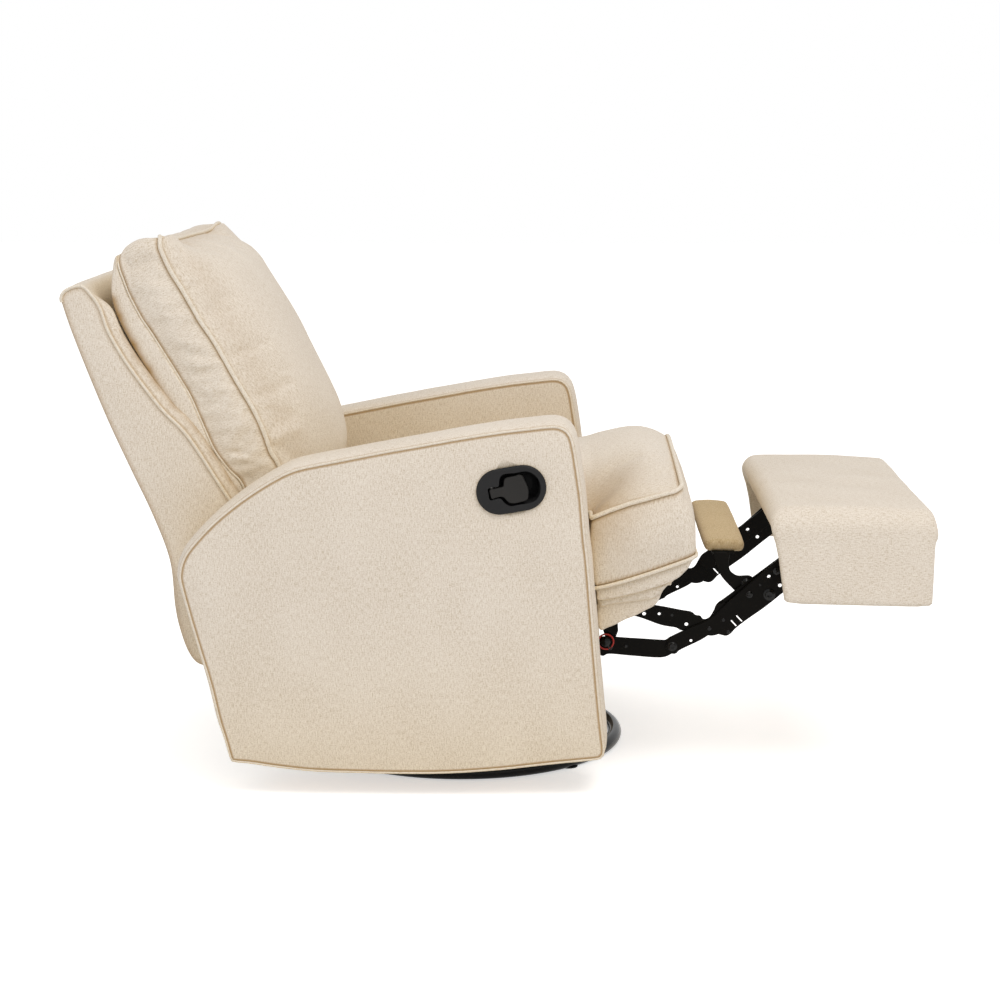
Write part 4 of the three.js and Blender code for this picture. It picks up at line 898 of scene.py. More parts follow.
REAR_SIDE = [(-352, 478), (-361, 500), (-369, 516), (-383, 530), (-394, 543), (-411, 567), (-422, 591), (-435, 622),
             (-451, 660), (-471, 695), (-493, 732), (-516, 770), (-528, 788), (-537, 805), (-549, 830), (-558, 855),
             (-564, 872), (-567, 886), (-567, 897)]
SLAB_REAR = [(-571, 897), (-575, 885), (-577, 868), (-580, 845), (-579, 822), (-571, 793), (-547, 744), (-523, 702),
             (-491, 645), (-457, 588), (-434, 564), (-402, 520), (-380, 490), (-356, 448), (-341, 402), (-338, 352),
             (-326, 339), (-298, 337), (-274, 342), (-266, 357), (-273, 382), (-287, 406), (-303, 432), (-323, 456),
             (-342, 474)]
slab_front = [(x - 2, z) for x, z in REAR_SIDE[1:]]
slab_seam = curve_through(SLAB_REAR + slab_front, 150, closed=True)
slab = padded_block("back_slab_cover", slab_seam, -247, 247, edge=5, swell=2.5, wave=0.8, seed=4.4)
# Painted shade down the slab's sides, in the deep gap between the wing and the back cushion.
paint_hollow_shade(slab, both_sides(SLAB_REAR[4:14], half=249, width=9, strength=0.95))
dress(slab, "back", ["back_slab"])

# %% [markdown]
# A boxed cushion has a front panel, a rear panel and a boxing strip between the two seams. Both panels are
# drawn as one grid of points, and a mask of cells says where there is cloth. That lets the seat cushion be a
# T: full width at the nose, narrower between the arms. The boxing follows the mask's edge all the way round.
# The cloth simulation then swells each cushion under a little pressure while its seams are held. The last folds
# are pressed in afterwards, where the seams pull at the cloth.

# %% Boxed cushions
def mask_edge(mask):
    """The grid nodes (row, column) round the edge of the masked cells, in order."""
    ahead = {}
    high, wide = mask.shape
    for r in range(high):
        for c in range(wide):
            if not mask[r, c]:
                continue
            if r == 0 or not mask[r - 1, c]:
                ahead[(r, c)] = (r, c + 1)
            if c == wide - 1 or not mask[r, c + 1]:
                ahead[(r, c + 1)] = (r + 1, c + 1)
            if r == high - 1 or not mask[r + 1, c]:
                ahead[(r + 1, c + 1)] = (r + 1, c)
            if c == 0 or not mask[r, c - 1]:
                ahead[(r + 1, c)] = (r, c)
    first = min(ahead)
    ring = [first]
    while ahead[ring[-1]] != first:
        ring.append(ahead[ring[-1]])
    return ring


def unit(rows):
    return rows / np.maximum(np.linalg.norm(rows, axis=1, keepdims=True), 1e-9)


def boxed_cushion(name, face_one, face_two, mask, rows, bulge, pitch):
    """Two grids of points (rows, columns, 3) over the masked cells, joined by a boxing strip that bulges."""
    ring = mask_edge(mask)
    one = np.array([face_one[r, c] for r, c in ring])
    two = np.array([face_two[r, c] for r, c in ring])
    tangent = np.roll(one + two, -1, 0) - np.roll(one + two, 1, 0)
    out = unit(np.cross(tangent, two - one))
    centre = (one.mean(0) + two.mean(0)) / 2
    if ((one + two) / 2 - centre).ravel() @ out.ravel() < 0:
        out = -out
    out = unit(spread(out, 3))
    gone = gone_along(one)
    points, faces, cloth = [], [], []
    high, wide = mask.shape
    for grid, offset in ((face_one, 0), (face_two, REAR_PANEL_AT)):
        base = len(points)
        points += [tuple(p) for p in grid.reshape(-1, 3)]
        for r in range(high):
            for c in range(wide):
                if mask[r, c]:
                    corners = ((r, c), (r, c + 1), (r + 1, c + 1), (r + 1, c))
                    faces.append(tuple(base + i * (wide + 1) + j for i, j in corners))
                    cloth.append([(offset + j * pitch[0], i * pitch[1]) for i, j in corners])
    depth = np.linalg.norm(two - one, axis=1).mean()
    across = [BOXING_AT + depth * row / rows for row in range(rows + 1)]
    boxing, where = strip_round(across, gone, gone[-1] + np.linalg.norm(one[0] - one[-1]), len(points))
    faces += boxing
    cloth += [[corner[::-1] for corner in face] for face in where]
    swell = bulge * (1 + 1.3 * np.maximum(0, out[:, 2:]))
    for row in range(rows + 1):
        share = row / rows
        lift = swell * (math.sin(math.pi * share) ** 0.7 if 0 < share < 1 else 0.0)
        points += [tuple(p) for p in one + (two - one) * share + out * lift]
    made = mesh_piece(name, points, faces, cloth, CREAM)
    with edited(made.data) as work:
        bmesh.ops.delete(work, geom=[v for v in work.verts if not v.link_faces], context="VERTS")
    through = unit(one - two)
    return made, one, two, [one + 1.5 * (out + through), two + 1.5 * (out - through)]


SWELL_PRESSURE, SWELL_FRAMES, SEAM_MM = 4.0, 20, 0.2


def inflate(piece, seams, cap, growth):
    """Swell the cushion as cloth under pressure, with its seams held, and no point moved more than cap mm."""
    before = places(piece.data)
    held = np.concatenate(seams)
    near = [k for k, p in enumerate(before) if ((held - p) ** 2).sum(1).min() < SEAM_MM ** 2]
    group = piece.vertex_groups.new(name="seams")
    group.add(near, 1.0, "REPLACE")
    step = piece.modifiers.new("swell", "CLOTH")
    cloth = step.settings
    for key, value in dict(
            quality=6, mass=0.3, tension_stiffness=22, compression_stiffness=22, shear_stiffness=8,
            bending_stiffness=0.6, use_pressure=True, uniform_pressure_force=SWELL_PRESSURE,
            vertex_group_mass="seams", shrink_min=-growth).items():
        setattr(cloth, key, value)
    cloth.effector_weights.gravity = 0
    step.collision_settings.use_collision = False
    step.point_cache.frame_start, step.point_cache.frame_end = 1, SWELL_FRAMES
    for frame_number in range(1, SWELL_FRAMES + 1):
        scene.frame_set(frame_number)
    seen = piece.evaluated_get(bpy.context.evaluated_depsgraph_get())
    shift = places(seen.to_mesh()) - before
    seen.to_mesh_clear()
    piece.modifiers.clear()
    piece.vertex_groups.clear()
    length = np.linalg.norm(shift, axis=1, keepdims=True)
    move_to(piece, before + shift * np.minimum(1, cap / np.maximum(length, 1e-6)))
    scene.frame_set(1)
    print(f"{piece.name}: swelled by up to {length.max():.0f} mm, {len(near)} seam points held")


def rounded_corner(across, along, half, length, radius, ends=(0, 1)):
    """Draw a square corner in to a round one. across is from -half to half, along from 0 to length."""
    s = max(0.0, 1 - (half - abs(across)) / radius)
    for end in ends:
        gap = along if end == 0 else length - along
        t = max(0.0, 1 - gap / radius)
        if s > 0 and t > 0:
            if s >= t:
                angle, reach = t / s * math.pi / 4, s
            else:
                angle, reach = math.pi / 2 - s / t * math.pi / 4, t
            out_across, out_along = reach * math.cos(angle), reach * math.sin(angle)
            across = math.copysign(half - radius + radius * out_across, across)
            gap = radius - radius * out_along
            along = gap if end == 0 else length - gap
            break
    return across, along


# %% The back cushion
SHARES = np.linspace(0, 1, 400)


def side_line(points):
    """Places at the SHARES of the length of a smooth line through points in (x, z)."""
    line = curve_through(points, 200)
    gone = gone_along(line)
    return at_stops(line, gone, SHARES * gone[-1])


CUSHION_HALF, CUSHION_LONG, CUSHION_ROUND = 250.0, 490.0, 24.0
HIGH, WIDE = 72, 76
FRONT_SIDE = [(-300, 478), (-296, 492), (-295, 510), (-299, 530), (-306, 548), (-315, 562), (-321, 578), (-327, 596),
              (-339, 625), (-356, 657), (-374, 688), (-392, 721), (-411, 755), (-431, 785), (-447, 814), (-463, 843),
              (-479, 869), (-490, 893), (-498, 914), (-502, 930)]
FRONT_MIDDLE = [(-272, 470), (-246, 474), (-226, 490), (-212, 520), (-211, 560), (-222, 606), (-237, 642), (-263, 696),
                (-291, 752), (-323, 806), (-358, 852), (-382, 882), (-408, 900), (-440, 911), (-470, 915), (-494, 912)]
TWIST = 30.0  # the far top corner leans this much further forward than the near one
front_side, front_middle, rear_side = side_line(FRONT_SIDE), side_line(FRONT_MIDDLE), side_line(REAR_SIDE)


def at_share(line, share):
    return np.array([np.interp(share, SHARES, line[:, axis]) for axis in (0, 1)])


# Both cushions are drawn a little flatter where the cloth simulation blows them up afterwards
BACK_PUFF, SEAT_PUFF = ((0.89, 0.9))
front_grid = np.zeros((HIGH + 1, WIDE + 1, 3))
rear_grid = np.zeros_like(front_grid)
for r, share_up in enumerate(np.linspace(0, 1, HIGH + 1)):
    for c, a in enumerate(np.linspace(-1, 1, WIDE + 1)):
        across, along = rounded_corner(a * CUSHION_HALF, share_up * CUSHION_LONG, CUSHION_HALF, CUSHION_LONG,
                                       CUSHION_ROUND)
        share = along / CUSHION_LONG
        side_spot, middle_spot = at_share(front_side, share), at_share(front_middle, share)
        crown = (1 - abs(across / CUSHION_HALF) ** 2.2) ** 0.66
        if across > 0:
            fuller = min(1, max(0, (share - 0.6) / 0.3))
            crown += fuller * ((1 - (across / CUSHION_HALF) ** 3.6) ** 0.62 - crown)
        spot = side_spot + (middle_spot - side_spot) * crown * (BACK_PUFF if share < 0.97 else 1.0)
        below_top, from_side = CUSHION_LONG - along, CUSHION_HALF - abs(across)
        ear = 14 * math.exp(-((from_side - 36) / 38) ** 2 - ((below_top - 14) / 36) ** 2)
        ear *= min(1, below_top / 12) * min(1, from_side / 14) * (0.8 if across > 0 else 1.0)
        waist = 1 - 0.012 * math.sin(math.pi * share) ** 2
        lean = TWIST * max(0, across / CUSHION_HALF) ** 1.3 * min(1, max(0, (share - 0.5) / 0.45)) ** 1.5
        front_grid[r, c] = (spot[0] + ear * 0.5 + lean, across * waist, spot[1] + ear)
        rear_spot = at_share(rear_side, share)
        dip = 8 * (1 - abs(across / CUSHION_HALF) ** 3) * max(0, share - 0.8) / 0.2
        rear_grid[r, c] = (rear_spot[0] + lean * 0.9, across * waist * 0.985, rear_spot[1] - dip)
back_cushion, back_front_seam, back_rear_seam, back_welts = boxed_cushion(
    "back_cushion_cover", front_grid, rear_grid, np.ones((HIGH, WIDE), bool), rows=14, bulge=5.0,
    pitch=(500 / WIDE, 560 / HIGH))
inflate(back_cushion, (back_front_seam, back_rear_seam), cap=12, growth=0.025)
refined(back_cushion)
wrinkled(back_cushion, [
    ((-462, -254, 748), (-408, -254, 742), 7, 2.6), ((-460, -254, 730), (-420, -254, 728), 6, -2.2),
    ((-455, -254, 712), (-392, -254, 716), 8, 2.4), ((-448, -254, 694), (-400, -254, 700), 6, -2.0),
    ((-436, -254, 664), (-380, -254, 676), 8, 1.8), ((-412, -254, 610), (-345, -254, 612), 10, 1.6),
    ((-395, -254, 566), (-350, -254, 562), 4, -2.2), ((-390, -254, 556), (-352, -254, 554), 5, 1.8),
    ((-505, -254, 820), (-470, -254, 812), 9, 1.4), ((-540, -254, 846), (-500, -254, 850), 10, 1.2),
    ((-316, -244, 588), (-268, -200, 600), 9, 2.4), ((-314, -246, 572), (-262, -190, 572), 7, -2.2),
    ((-480, 215, 915), (-400, 120, 860), 12, 2.6), ((-486, 180, 905), (-420, 60, 860), 11, -2.2),
    ((-480, -215, 915), (-410, -140, 850), 12, 2.2), ((-470, -225, 880), (-400, -180, 800), 11, -1.6),
    ((-390, -236, 745), (-340, -180, 730), 12, 1.5), ((-350, 20, 860), (-280, 80, 740), 26, 1.6),
])
# Painted shade beside both welts, down the front's sides, along the foot where the cushion meets the seat, and across
# the top.
paint_seam_shade(back_cushion, [back_front_seam, back_rear_seam], full=4.6, gone=7.5, strength=0.6)
paint_hollow_shade(back_cushion, [((-262, way * 212, 530), (-440, way * 214, 870), 30, 0.13) for way in (-1, 1)]
       + [((-250, -220, 480), (-250, 220, 480), 40, 0.3), ((-480, -120, 905), (-480, 200, 925), 30, 0.14)])
dress(back_cushion, "back", ["back_cushion"])
welts("back_cushion_welts", back_welts[:1], "back", radius=3.8)
welts("back_cushion_rear_welt", [back_rear_seam + (back_welts[1] - back_rear_seam) * 0.3], "back", radius=1.7)

# %% The seat cushion
SEAT_REAR, SEAT_HALF, NOSE_HALF, NOSE_REAR, NOSE_FRONT = -224.0, 262.0, 315.0, 229.0, 378.0
NOSE_RISE, EAR_ROUND = 37, 45  # how far the nose's top seam climbs to its middle, and the round of its ears
DECK_Z, DECK_X, DECK_TILT = 345.6, 233, math.tan(math.radians(7.4))
seat_x = np.concatenate([np.linspace(SEAT_REAR, NOSE_REAR, 54), np.linspace(NOSE_REAR, NOSE_FRONT, 20)[1:]])
seat_y = np.concatenate([np.linspace(-NOSE_HALF, -SEAT_HALF, 8), np.linspace(-SEAT_HALF, SEAT_HALF, 62)[1:-1],
                         np.linspace(SEAT_HALF, NOSE_HALF, 8)])
behind_nose = (seat_x[1:] + seat_x[:-1]) / 2 < NOSE_REAR
beside_seat = np.abs(seat_y[1:] + seat_y[:-1]) / 2 > SEAT_HALF
cells = ~(behind_nose[:, None] & beside_seat)
CROWN_X = [-224, -212, -180, -123, 6, 121, 198, 229, 247, 265, 283, 301, 319, 337, 350, 358, 366, 378]
CROWN_Z = [405, 436, 456, 472, 510, 534, 545, 552, 558, 562, 566, 569, 570, 569, 567, 564, 560, 553]
SIDE_X, SIDE_Z = [-224, 229, 240, 259, 292, 325, 342, 371, 378], [405, 464, 469, 477, 489, 498, 503, 511, 516]
top_grid = np.zeros((len(seat_x), len(seat_y), 3))
low_grid = np.zeros_like(top_grid)
for r, row_x in enumerate(seat_x):
    for c, column_y in enumerate(seat_y):
        x, y = row_x, column_y
        if row_x > NOSE_REAR:
            y, x = rounded_corner(column_y, row_x - NOSE_REAR, NOSE_HALF, NOSE_FRONT - NOSE_REAR, 15, ends=(1,))
            x += NOSE_REAR
        near_front = np.clip((x - NOSE_REAR) / (NOSE_FRONT - NOSE_REAR), 0, 1)
        inboard = 1 - min(1, abs(y) / NOSE_HALF) ** 1.6
        line = np.interp(x, SIDE_X, SIDE_Z)
        seam_z = line + NOSE_RISE * inboard * near_front ** 1.3 - 9 * min(1, max(0, y - 30) / 150) * near_front
        shift = -8 * inboard * near_front
        if x < NOSE_REAR:
            away = SEAT_HALF - abs(y)
        else:
            to_side, to_arm = NOSE_HALF - abs(y), math.hypot(max(0, SEAT_HALF - abs(y)), (x - NOSE_REAR))
            share = min(max(0.5 + 0.5 * (to_arm - to_side) / EAR_ROUND, 0), 1)
            away = to_arm + (to_side - to_arm) * share - EAR_ROUND * share * (1 - share)
        away = min(max(away, 0), SEAT_HALF) / SEAT_HALF
        full = (1 - (1 - away) ** 2.0) ** 0.78
        crown = np.interp(x, CROWN_X, CROWN_Z) - (line + NOSE_RISE * near_front ** 1.3)
        top_grid[r, c] = (x + shift, y, seam_z + max(crown, 0) * full * SEAT_PUFF)
        low_x = np.interp(x, [SEAT_REAR, NOSE_REAR, NOSE_FRONT], [SEAT_REAR, 235, 403])
        low = DECK_Z + (low_x - DECK_X) * DECK_TILT + 1.2
        if x > NOSE_REAR:
            low += 33 * near_front ** 1.35
        low_grid[r, c] = (low_x, y, low)
seat_cushion, seat_top_seam, seat_low_seam, seat_welts = boxed_cushion(
    "seat_cushion_cover", top_grid, low_grid, cells, rows=12, bulge=7.0, pitch=(9.0, 9.2))
inflate(seat_cushion, (seat_top_seam, seat_low_seam), cap=11, growth=0.012)
refined(seat_cushion)
wrinkled(seat_cushion, [
    ((236, -280, 486), (275, -235, 524), 22, -3.0), ((236, 280, 486), (275, 235, 524), 22, -3.0),
    ((250, -318, 440), (256, -318, 400), 8, 1.6), ((300, -318, 470), (306, -318, 432), 9, 1.2),
    ((120, -60, 530), (150, 60, 540), 40, -1.5),
])
# Painted shade beside the welts, and a broad warm painted shade where the cushion slopes down beside each arm's front.
paint_seam_shade(seat_cushion, [seat_top_seam, seat_low_seam], full=4.6, gone=7.5, strength=0.55)
paint_hollow_shade(seat_cushion, [((232, way * 288, 472), (228, way * 250, 525), 68, 0.5) for way in (-1, 1)])
dress(seat_cushion, "carriage", ["seat_cushion"])
welts("seat_top_welt", seat_welts[:1], "carriage", radius=3.7)
welts("seat_low_welt", seat_welts[1:], "carriage", radius=3.3)

# %% The apron under the seat's nose
APRON_BAND = [(402, 400), (396, 390), (392, 381), (385, 373), (376, 364), (364, 357), (350, 351), (335, 346),
              (302, 336), (268, 328), (240, 324), (238, 336), (240, 345), (290, 360), (350, 380)]
APRON_ROLL = [(368, 357), (356, 346), (345, 334), (333, 325), (318, 322), (290, 318), (262, 314), (245, 310),
              (240, 318), (242, 326), (290, 338), (345, 352)]
APRON_BLOCK = [(365, 353), (355, 347), (347, 334), (342, 321), (334, 311), (319, 303), (303, 294), (286, 287),
               (269, 278), (254, 272), (245, 268), (240, 282), (240, 302), (243, 321), (290, 333), (336, 345)]
APRON_PIECES = [  # name, outline, points round it, y range, edge, swell, wave, seed, the node it stands for
    ("apron_band", APRON_BAND, 110, (-312, 312), 5, 1.5, 0.8, 6.1, ["seat_apron"]),
    ("apron_roll", APRON_ROLL, 100, (-303, 303), 8, 2, 1.4, 7.7, []),
    ("apron_block_right", APRON_BLOCK, 80, (-295, -234), 5, 1.5, 1.2, 8.3, []),
    ("apron_block_left", APRON_BLOCK, 80, (234, 295), 5, 1.5, 1.2, 8.3, []),
]
for name, outline, count, reach, edge, swell, wave, seed, stands_for in APRON_PIECES:
    made = padded_block(name, curve_through(outline, count, closed=True), *reach, edge, swell, wave, seed)
    dress(made, "carriage", stands_for)

# %% [markdown]
# The footrest is a board under a thick pad whose cover hangs down at both ends as stiff flaps. In section it is
# an upside-down U. It is swept here along that U: a strip with rounded edges that is thick over the board and
# thin in the flaps, slanted at the rear edge where the flaps clear the linkage.

# %% The footrest
FOOT_HALF, FOOT_TOP, FOOT_LOW, FOOT_BEND, FLAP = 315.0, 478.0, 319.0, 36.0, 16.0
BOARD_LOW = 424.0
BOARD_REACH, HEM = 38, 9  # mm over which the pad thickens above the board, and the flap's hem draws in
bend = np.linspace(0, math.pi / 2, 14)
outer_path = ([(-FOOT_HALF, z) for z in np.linspace(FOOT_LOW, FOOT_TOP - FOOT_BEND, 20)[:-1]]
              + [(-FOOT_HALF + FOOT_BEND * (1 - math.cos(a)), FOOT_TOP - FOOT_BEND + FOOT_BEND * math.sin(a))
                 for a in bend]
              + [(y, FOOT_TOP) for y in np.linspace(-FOOT_HALF + FOOT_BEND, 0, 28)[1:]])
outer_path += [(-y, z) for y, z in outer_path[-2::-1]]
foot_gone = gone_along(outer_path)
FOOT_REAR_Z, FOOT_REAR_X = [316, 344, 395, 429, 452, 470, 480], [554, 549.5, 542, 534.5, 529, 527, 527]
FOOT_FRONT_Z = [316, 345, 397, 420, 428, 436, 446, 462, 480]
FOOT_FRONT_X = [800, 801, 802, 802.5, 804, 806.5, 807, 805, 802]
TOP_X, TOP_RISE = [527, 550, 600, 650, 700, 750, 807], [3.5, 3.0, 1.6, 1.2, 0.6, -1.0, -1.0]
STEPS_IN = [0, 0.5, 1.6, 3.4, 6, 9.5, 14, 20, 28, 40]
profile = ([("rear", inset) for inset in STEPS_IN] + [("across", share) for share in np.linspace(0.22, 0.78, 9)]
           + [("front", inset) for inset in STEPS_IN[::-1]])
points = []
for oy, oz in outer_path:
    iy = math.copysign(min(abs(oy), FOOT_HALF - FLAP), oy) if oy else 0.0
    depth = np.array([iy - oy, min(oz, BOARD_LOW) - oz])
    thick = np.linalg.norm(depth)
    depth = depth / thick
    over = np.clip((thick - FLAP) / BOARD_REACH, 0, 1)
    hang_share = max(0.0, min(1.0, (BOARD_LOW - oz) / (BOARD_LOW - FOOT_LOW)))
    for outside, ahead in ((True, profile), (False, profile[::-1])):
        rear, front = np.interp(oz, FOOT_REAR_Z, FOOT_REAR_X), np.interp(oz, FOOT_FRONT_Z, FOOT_FRONT_X)
        if not outside:
            rear, front = rear + 13 * over, front - 3 * over
        for where, value in ahead:
            radius = (7 + 19 * over if where != "front" else 7 + 9 * over) if outside else 5.0
            if where == "across":
                x, drop, share = rear + (front - rear) * value, 0.0, value
            else:
                x = rear + value if where == "rear" else front - value
                share = (x - rear) / (front - rear)
                drop = radius - math.sqrt(max(radius ** 2 - (radius - min(value, radius)) ** 2, 0))
            drop = min(drop, thick * 0.48)
            if abs(oy) > FOOT_HALF - 1 and oz < FOOT_LOW + HEM:
                drop += 2.2 * (1 - (oz - FOOT_LOW) / HEM) ** 2
            at = thick - drop
            if outside:
                puff = (1 - abs(2 * share - 1) ** 3) * (1.0 + 2.6 * over)
                puff += np.interp(x, TOP_X, TOP_RISE) * max(0.0, -depth[1])
                puff += 1.3 * soft_noise(x, oy, oz, 75, 9.1) * (0.6 + over)
                at = drop - puff
            points.append((x, oy + depth[0] * at, oz + depth[1] * at - 5 * share * hang_share))
loop_count = 2 * len(profile)
loops = np.array(points).reshape(len(outer_path), loop_count, 3)
spans = np.linalg.norm(np.roll(loops, -1, axis=1) - loops, axis=2)
round_gone = np.concatenate([np.zeros((len(outer_path), 1)), np.cumsum(spans, axis=1)], axis=1)
round_gone -= round_gone[:, [len(profile) // 2]]
faces, cloth = rows_round(len(outer_path), loop_count), []
for face in faces:
    row, step = divmod(face[0], loop_count)
    cloth.append([(foot_gone[r], round_gone[r, c]) for r, c in (
        (row, step), (row, step + 1), (row + 1, step + 1), (row + 1, step))])
last = (len(outer_path) - 1) * loop_count
faces += [tuple(range(loop_count)), tuple(last + k for k in range(loop_count))[::-1]]
cloth += [[p[:2] for p in points[:loop_count]], [p[:2] for p in points[last:]][::-1]]
footrest = refined(mesh_piece("footrest_upholstery", points, faces, cloth, CREAM))
dress(footrest, "footrest", ["footrest_cover"])

# %% The calf pad
CALF_TILT, CALF_X, CALF_Z, CALF_HALF = math.radians(0.8), 458.5, 398, 203
CALF = [(-32, -7), (-27, -10), (-15, -10.5), (15, -10.5), (27, -10), (32, -7), (34, 0), (32, 6), (26, 9), (12, 10.5),
        (0, 11), (-12, 10.5), (-26, 9), (-32, 6), (-34, 0)]
level, drop = math.cos(CALF_TILT), math.sin(CALF_TILT)
calf_loop = np.array([(CALF_X + x * level + z * drop, CALF_Z - x * drop + z * level)
                      for x, z in curve_through(CALF, 84, closed=True)])
calf = padded_block("calf_pad_cover", calf_loop, -CALF_HALF, CALF_HALF, edge=8, swell=1.5, wave=1.0, seed=2.9,
                    material=KHAKI, pitch=7)
wrinkled(calf, [((x, way * CALF_HALF, 400), (x - 1, way * 190, 406), 2.2, 0.9 if (x // 8) % 2 else -0.9)
                for way in (-1, 1) for x in range(434, 490, 8)])
# Painted shade along the calf pad's two ends and its rear and front edges.
paint_hollow_shade(calf, [((426, way * 205, 396), (492, way * 205, 396), 12, 0.4) for way in (-1, 1)]
       + [((423, -200, 396), (423, 200, 396), 9, 0.35), ((494, -200, 394), (494, 200, 394), 8, 0.3)])
dress(calf, "link_d", ["calf_pad"])

# %% [markdown]
# The handle is moulded plastic: a flat oval bezel with one deep pocket in it, which follows the T-shaped paddle
# and leaves room ahead of its head for the fingers. Plates of the linkage come from the same kind of drawing: an
# outline with holes, given thickness and a small bevel on each edge.

# %% Plates with holes
def circle(x, z, radius, count=24):
    """A circle's points in (x, z)."""
    turn = np.linspace(0, math.tau, count, endpoint=False)
    return np.stack([x + radius * np.cos(turn), z + radius * np.sin(turn)], axis=1)


def plate_mesh(edge, holes, low_y, high_y, bevel=0.5):
    """Points and faces of a flat plate from low_y to high_y in mm, with bevelled edges."""
    loops = [np.asarray(loop, float) for loop in [edge, *holes]]
    inner = [loop + (bevel if number else -bevel) * outward_of(loop) for number, loop in enumerate(loops)]
    points, faces, smooth = [], [], []
    *spots, total = np.cumsum([0] + [len(loop) for loop in loops]).tolist()
    sides = [(spot + k, spot + (k + 1) % len(loop)) for spot, loop in zip(spots, loops) for k in range(len(loop))]
    for y, rings in ((low_y, inner), (low_y + bevel, loops), (high_y - bevel, loops), (high_y, inner)):
        points += [(x, y, z) for ring in rings for x, z in ring]
    for layer in range(3):
        here, after = layer * total, (layer + 1) * total
        faces += [(here + a, here + b, after + b, after + a) for a, b in sides]
        smooth += [True] * len(sides)
    every = np.concatenate(inner)
    found = geometry.delaunay_2d_cdt([Vector(p) for p in every], sides, [], 0, 1e-6)
    back_to = [origin[0] for origin in found[3]]
    for face in found[2]:
        middle = np.array([every[back_to[k]] for k in face]).mean(0)[None, :]
        if inside_loop(middle, inner[0])[0] and not any(inside_loop(middle, hole)[0] for hole in inner[1:]):
            for layer in (0, 3):
                faces.append(tuple(layer * total + back_to[k] for k in face))
                smooth.append(False)
    return points, faces, smooth


def turned_mesh(x, z, profile, count):
    """Points and faces turned round an axis along y through (x, z). profile is (radius, y) from tip to tip."""
    points = [place for radius, y in profile for place in at_y(circle(x, z, max(radius, 0.01), count), y)]
    faces = rows_round(len(profile), count)
    faces += [tuple(range(count)), tuple((len(profile) - 1) * count + k for k in range(count))[::-1]]
    return points, faces, (True,) * (len(faces) - 2) + (False, False)


def hard_piece(name, parts, body, slot_name, stands_for, material=None):
    """One piece from several closed meshes, each (points, faces, smooth), the turned ones in rivet black."""
    points, faces, smooth, paint = [], [], [], []
    for part_points, part_faces, part_smooth in parts:
        paint += [int(isinstance(part_smooth, tuple))] * len(part_faces)
        base = len(points)
        points += part_points
        faces += [tuple(base + k for k in face) for face in part_faces]
        smooth += part_smooth
    mesh = bpy.data.meshes.new(name)
    mesh.from_pydata([tuple(p) for p in metres(points)], [], faces)
    mesh.materials.append(material or FINISHES[slot_name])
    if any(paint):
        mesh.materials.append(RIVET_BLACK)
        mesh.polygons.foreach_set("material_index", paint)
    mesh.polygons.foreach_set("use_smooth", smooth)
    with edited(mesh) as work:
        bmesh.ops.recalc_face_normals(work, faces=work.faces)
    dress(linked(name, mesh), body, stands_for)


# %% The handle
POCKET = [(57, 526), (66, 528.5), (74, 530), (75, 537), (76, 543), (79, 548), (85, 551), (101, 552.5), (113, 555),
          (122, 555), (131, 551), (139, 543), (143, 531), (142, 518), (136, 508), (126, 503), (109, 500), (96, 497.5),
          (89, 499.5), (83, 504), (79, 509), (74, 510), (61, 507), (58, 516)]
PADDLE = [(60, 524), (70, 526.5), (78, 528), (82, 530), (83, 538), (85, 542.5), (90, 545), (100, 547), (108, 549.5),
          (113, 547.5), (117, 540), (121, 531), (123, 524), (123, 513), (121, 508), (114, 505), (104, 502.5),
          (95, 502), (89, 505), (85, 509.5), (81, 512.5), (75, 512), (63, 509.5), (61, 516)]
BEZEL_Y, WELL_FLOOR_Y, PADDLE_Y = -387.4, -343, (-386.9, -378.5)
WELLS = [(0, BEZEL_Y), (0.2, BEZEL_Y + 0.5), (5, BEZEL_Y + 0.9), (5.5, -379), (-1.6, -371), (-3, -352), (-7, -345),
         (-14, WELL_FLOOR_Y)]  # how far the pocket's outline is grown at each depth
pocket = curve_through(POCKET, 120, closed=True)
pocket_out = outward_of(pocket)
paddle = curve_through(PADDLE, 110, closed=True)
bezel_rings = [(stadium(grow), y) for grow, y in (
    (-6, -380), (-0.2, -380), (0.4, -383.4), (0.2, -385.4), (-0.8, -386.8), (-2.6, BEZEL_Y))]
points, faces, smooth = [], [], []


def add_loops(rings):
    """Join closed loops, each given with its y, into the moulding."""
    made = rows_round(len(rings), len(rings[0][0]), len(points))
    points.extend(place for ring, y in rings for place in at_y(ring, y))
    faces.extend(made)
    smooth.extend([True] * len(made))


def add_flat(panel, y, rounded):
    flat, triangles = panel
    lay_flat(faces, [], flat, triangles, len(points))
    points.extend(at_y(flat, y))
    smooth.extend([rounded] * len(triangles))


add_loops(bezel_rings)
add_flat(filled_panel(bezel_rings[-1][0], pocket, pitch=5, bands=(), hole_bands=()), BEZEL_Y, False)
add_loops([(pocket + pocket_out * grow, y) for grow, y in WELLS])
add_flat(filled_panel(pocket + pocket_out * -13.9, pitch=7, bands=()), WELL_FLOOR_Y, True)
hard_piece("handle_cup_moulding", [(points, faces, smooth)], "carriage", "satin_black_plastic", ["handle_cup"])
hard_piece("release_paddle_moulding", [plate_mesh(paddle, [], *PADDLE_Y, bevel=1.1)], "release",
           "satin_black_plastic", ["release_paddle"], PADDLE_BLACK)

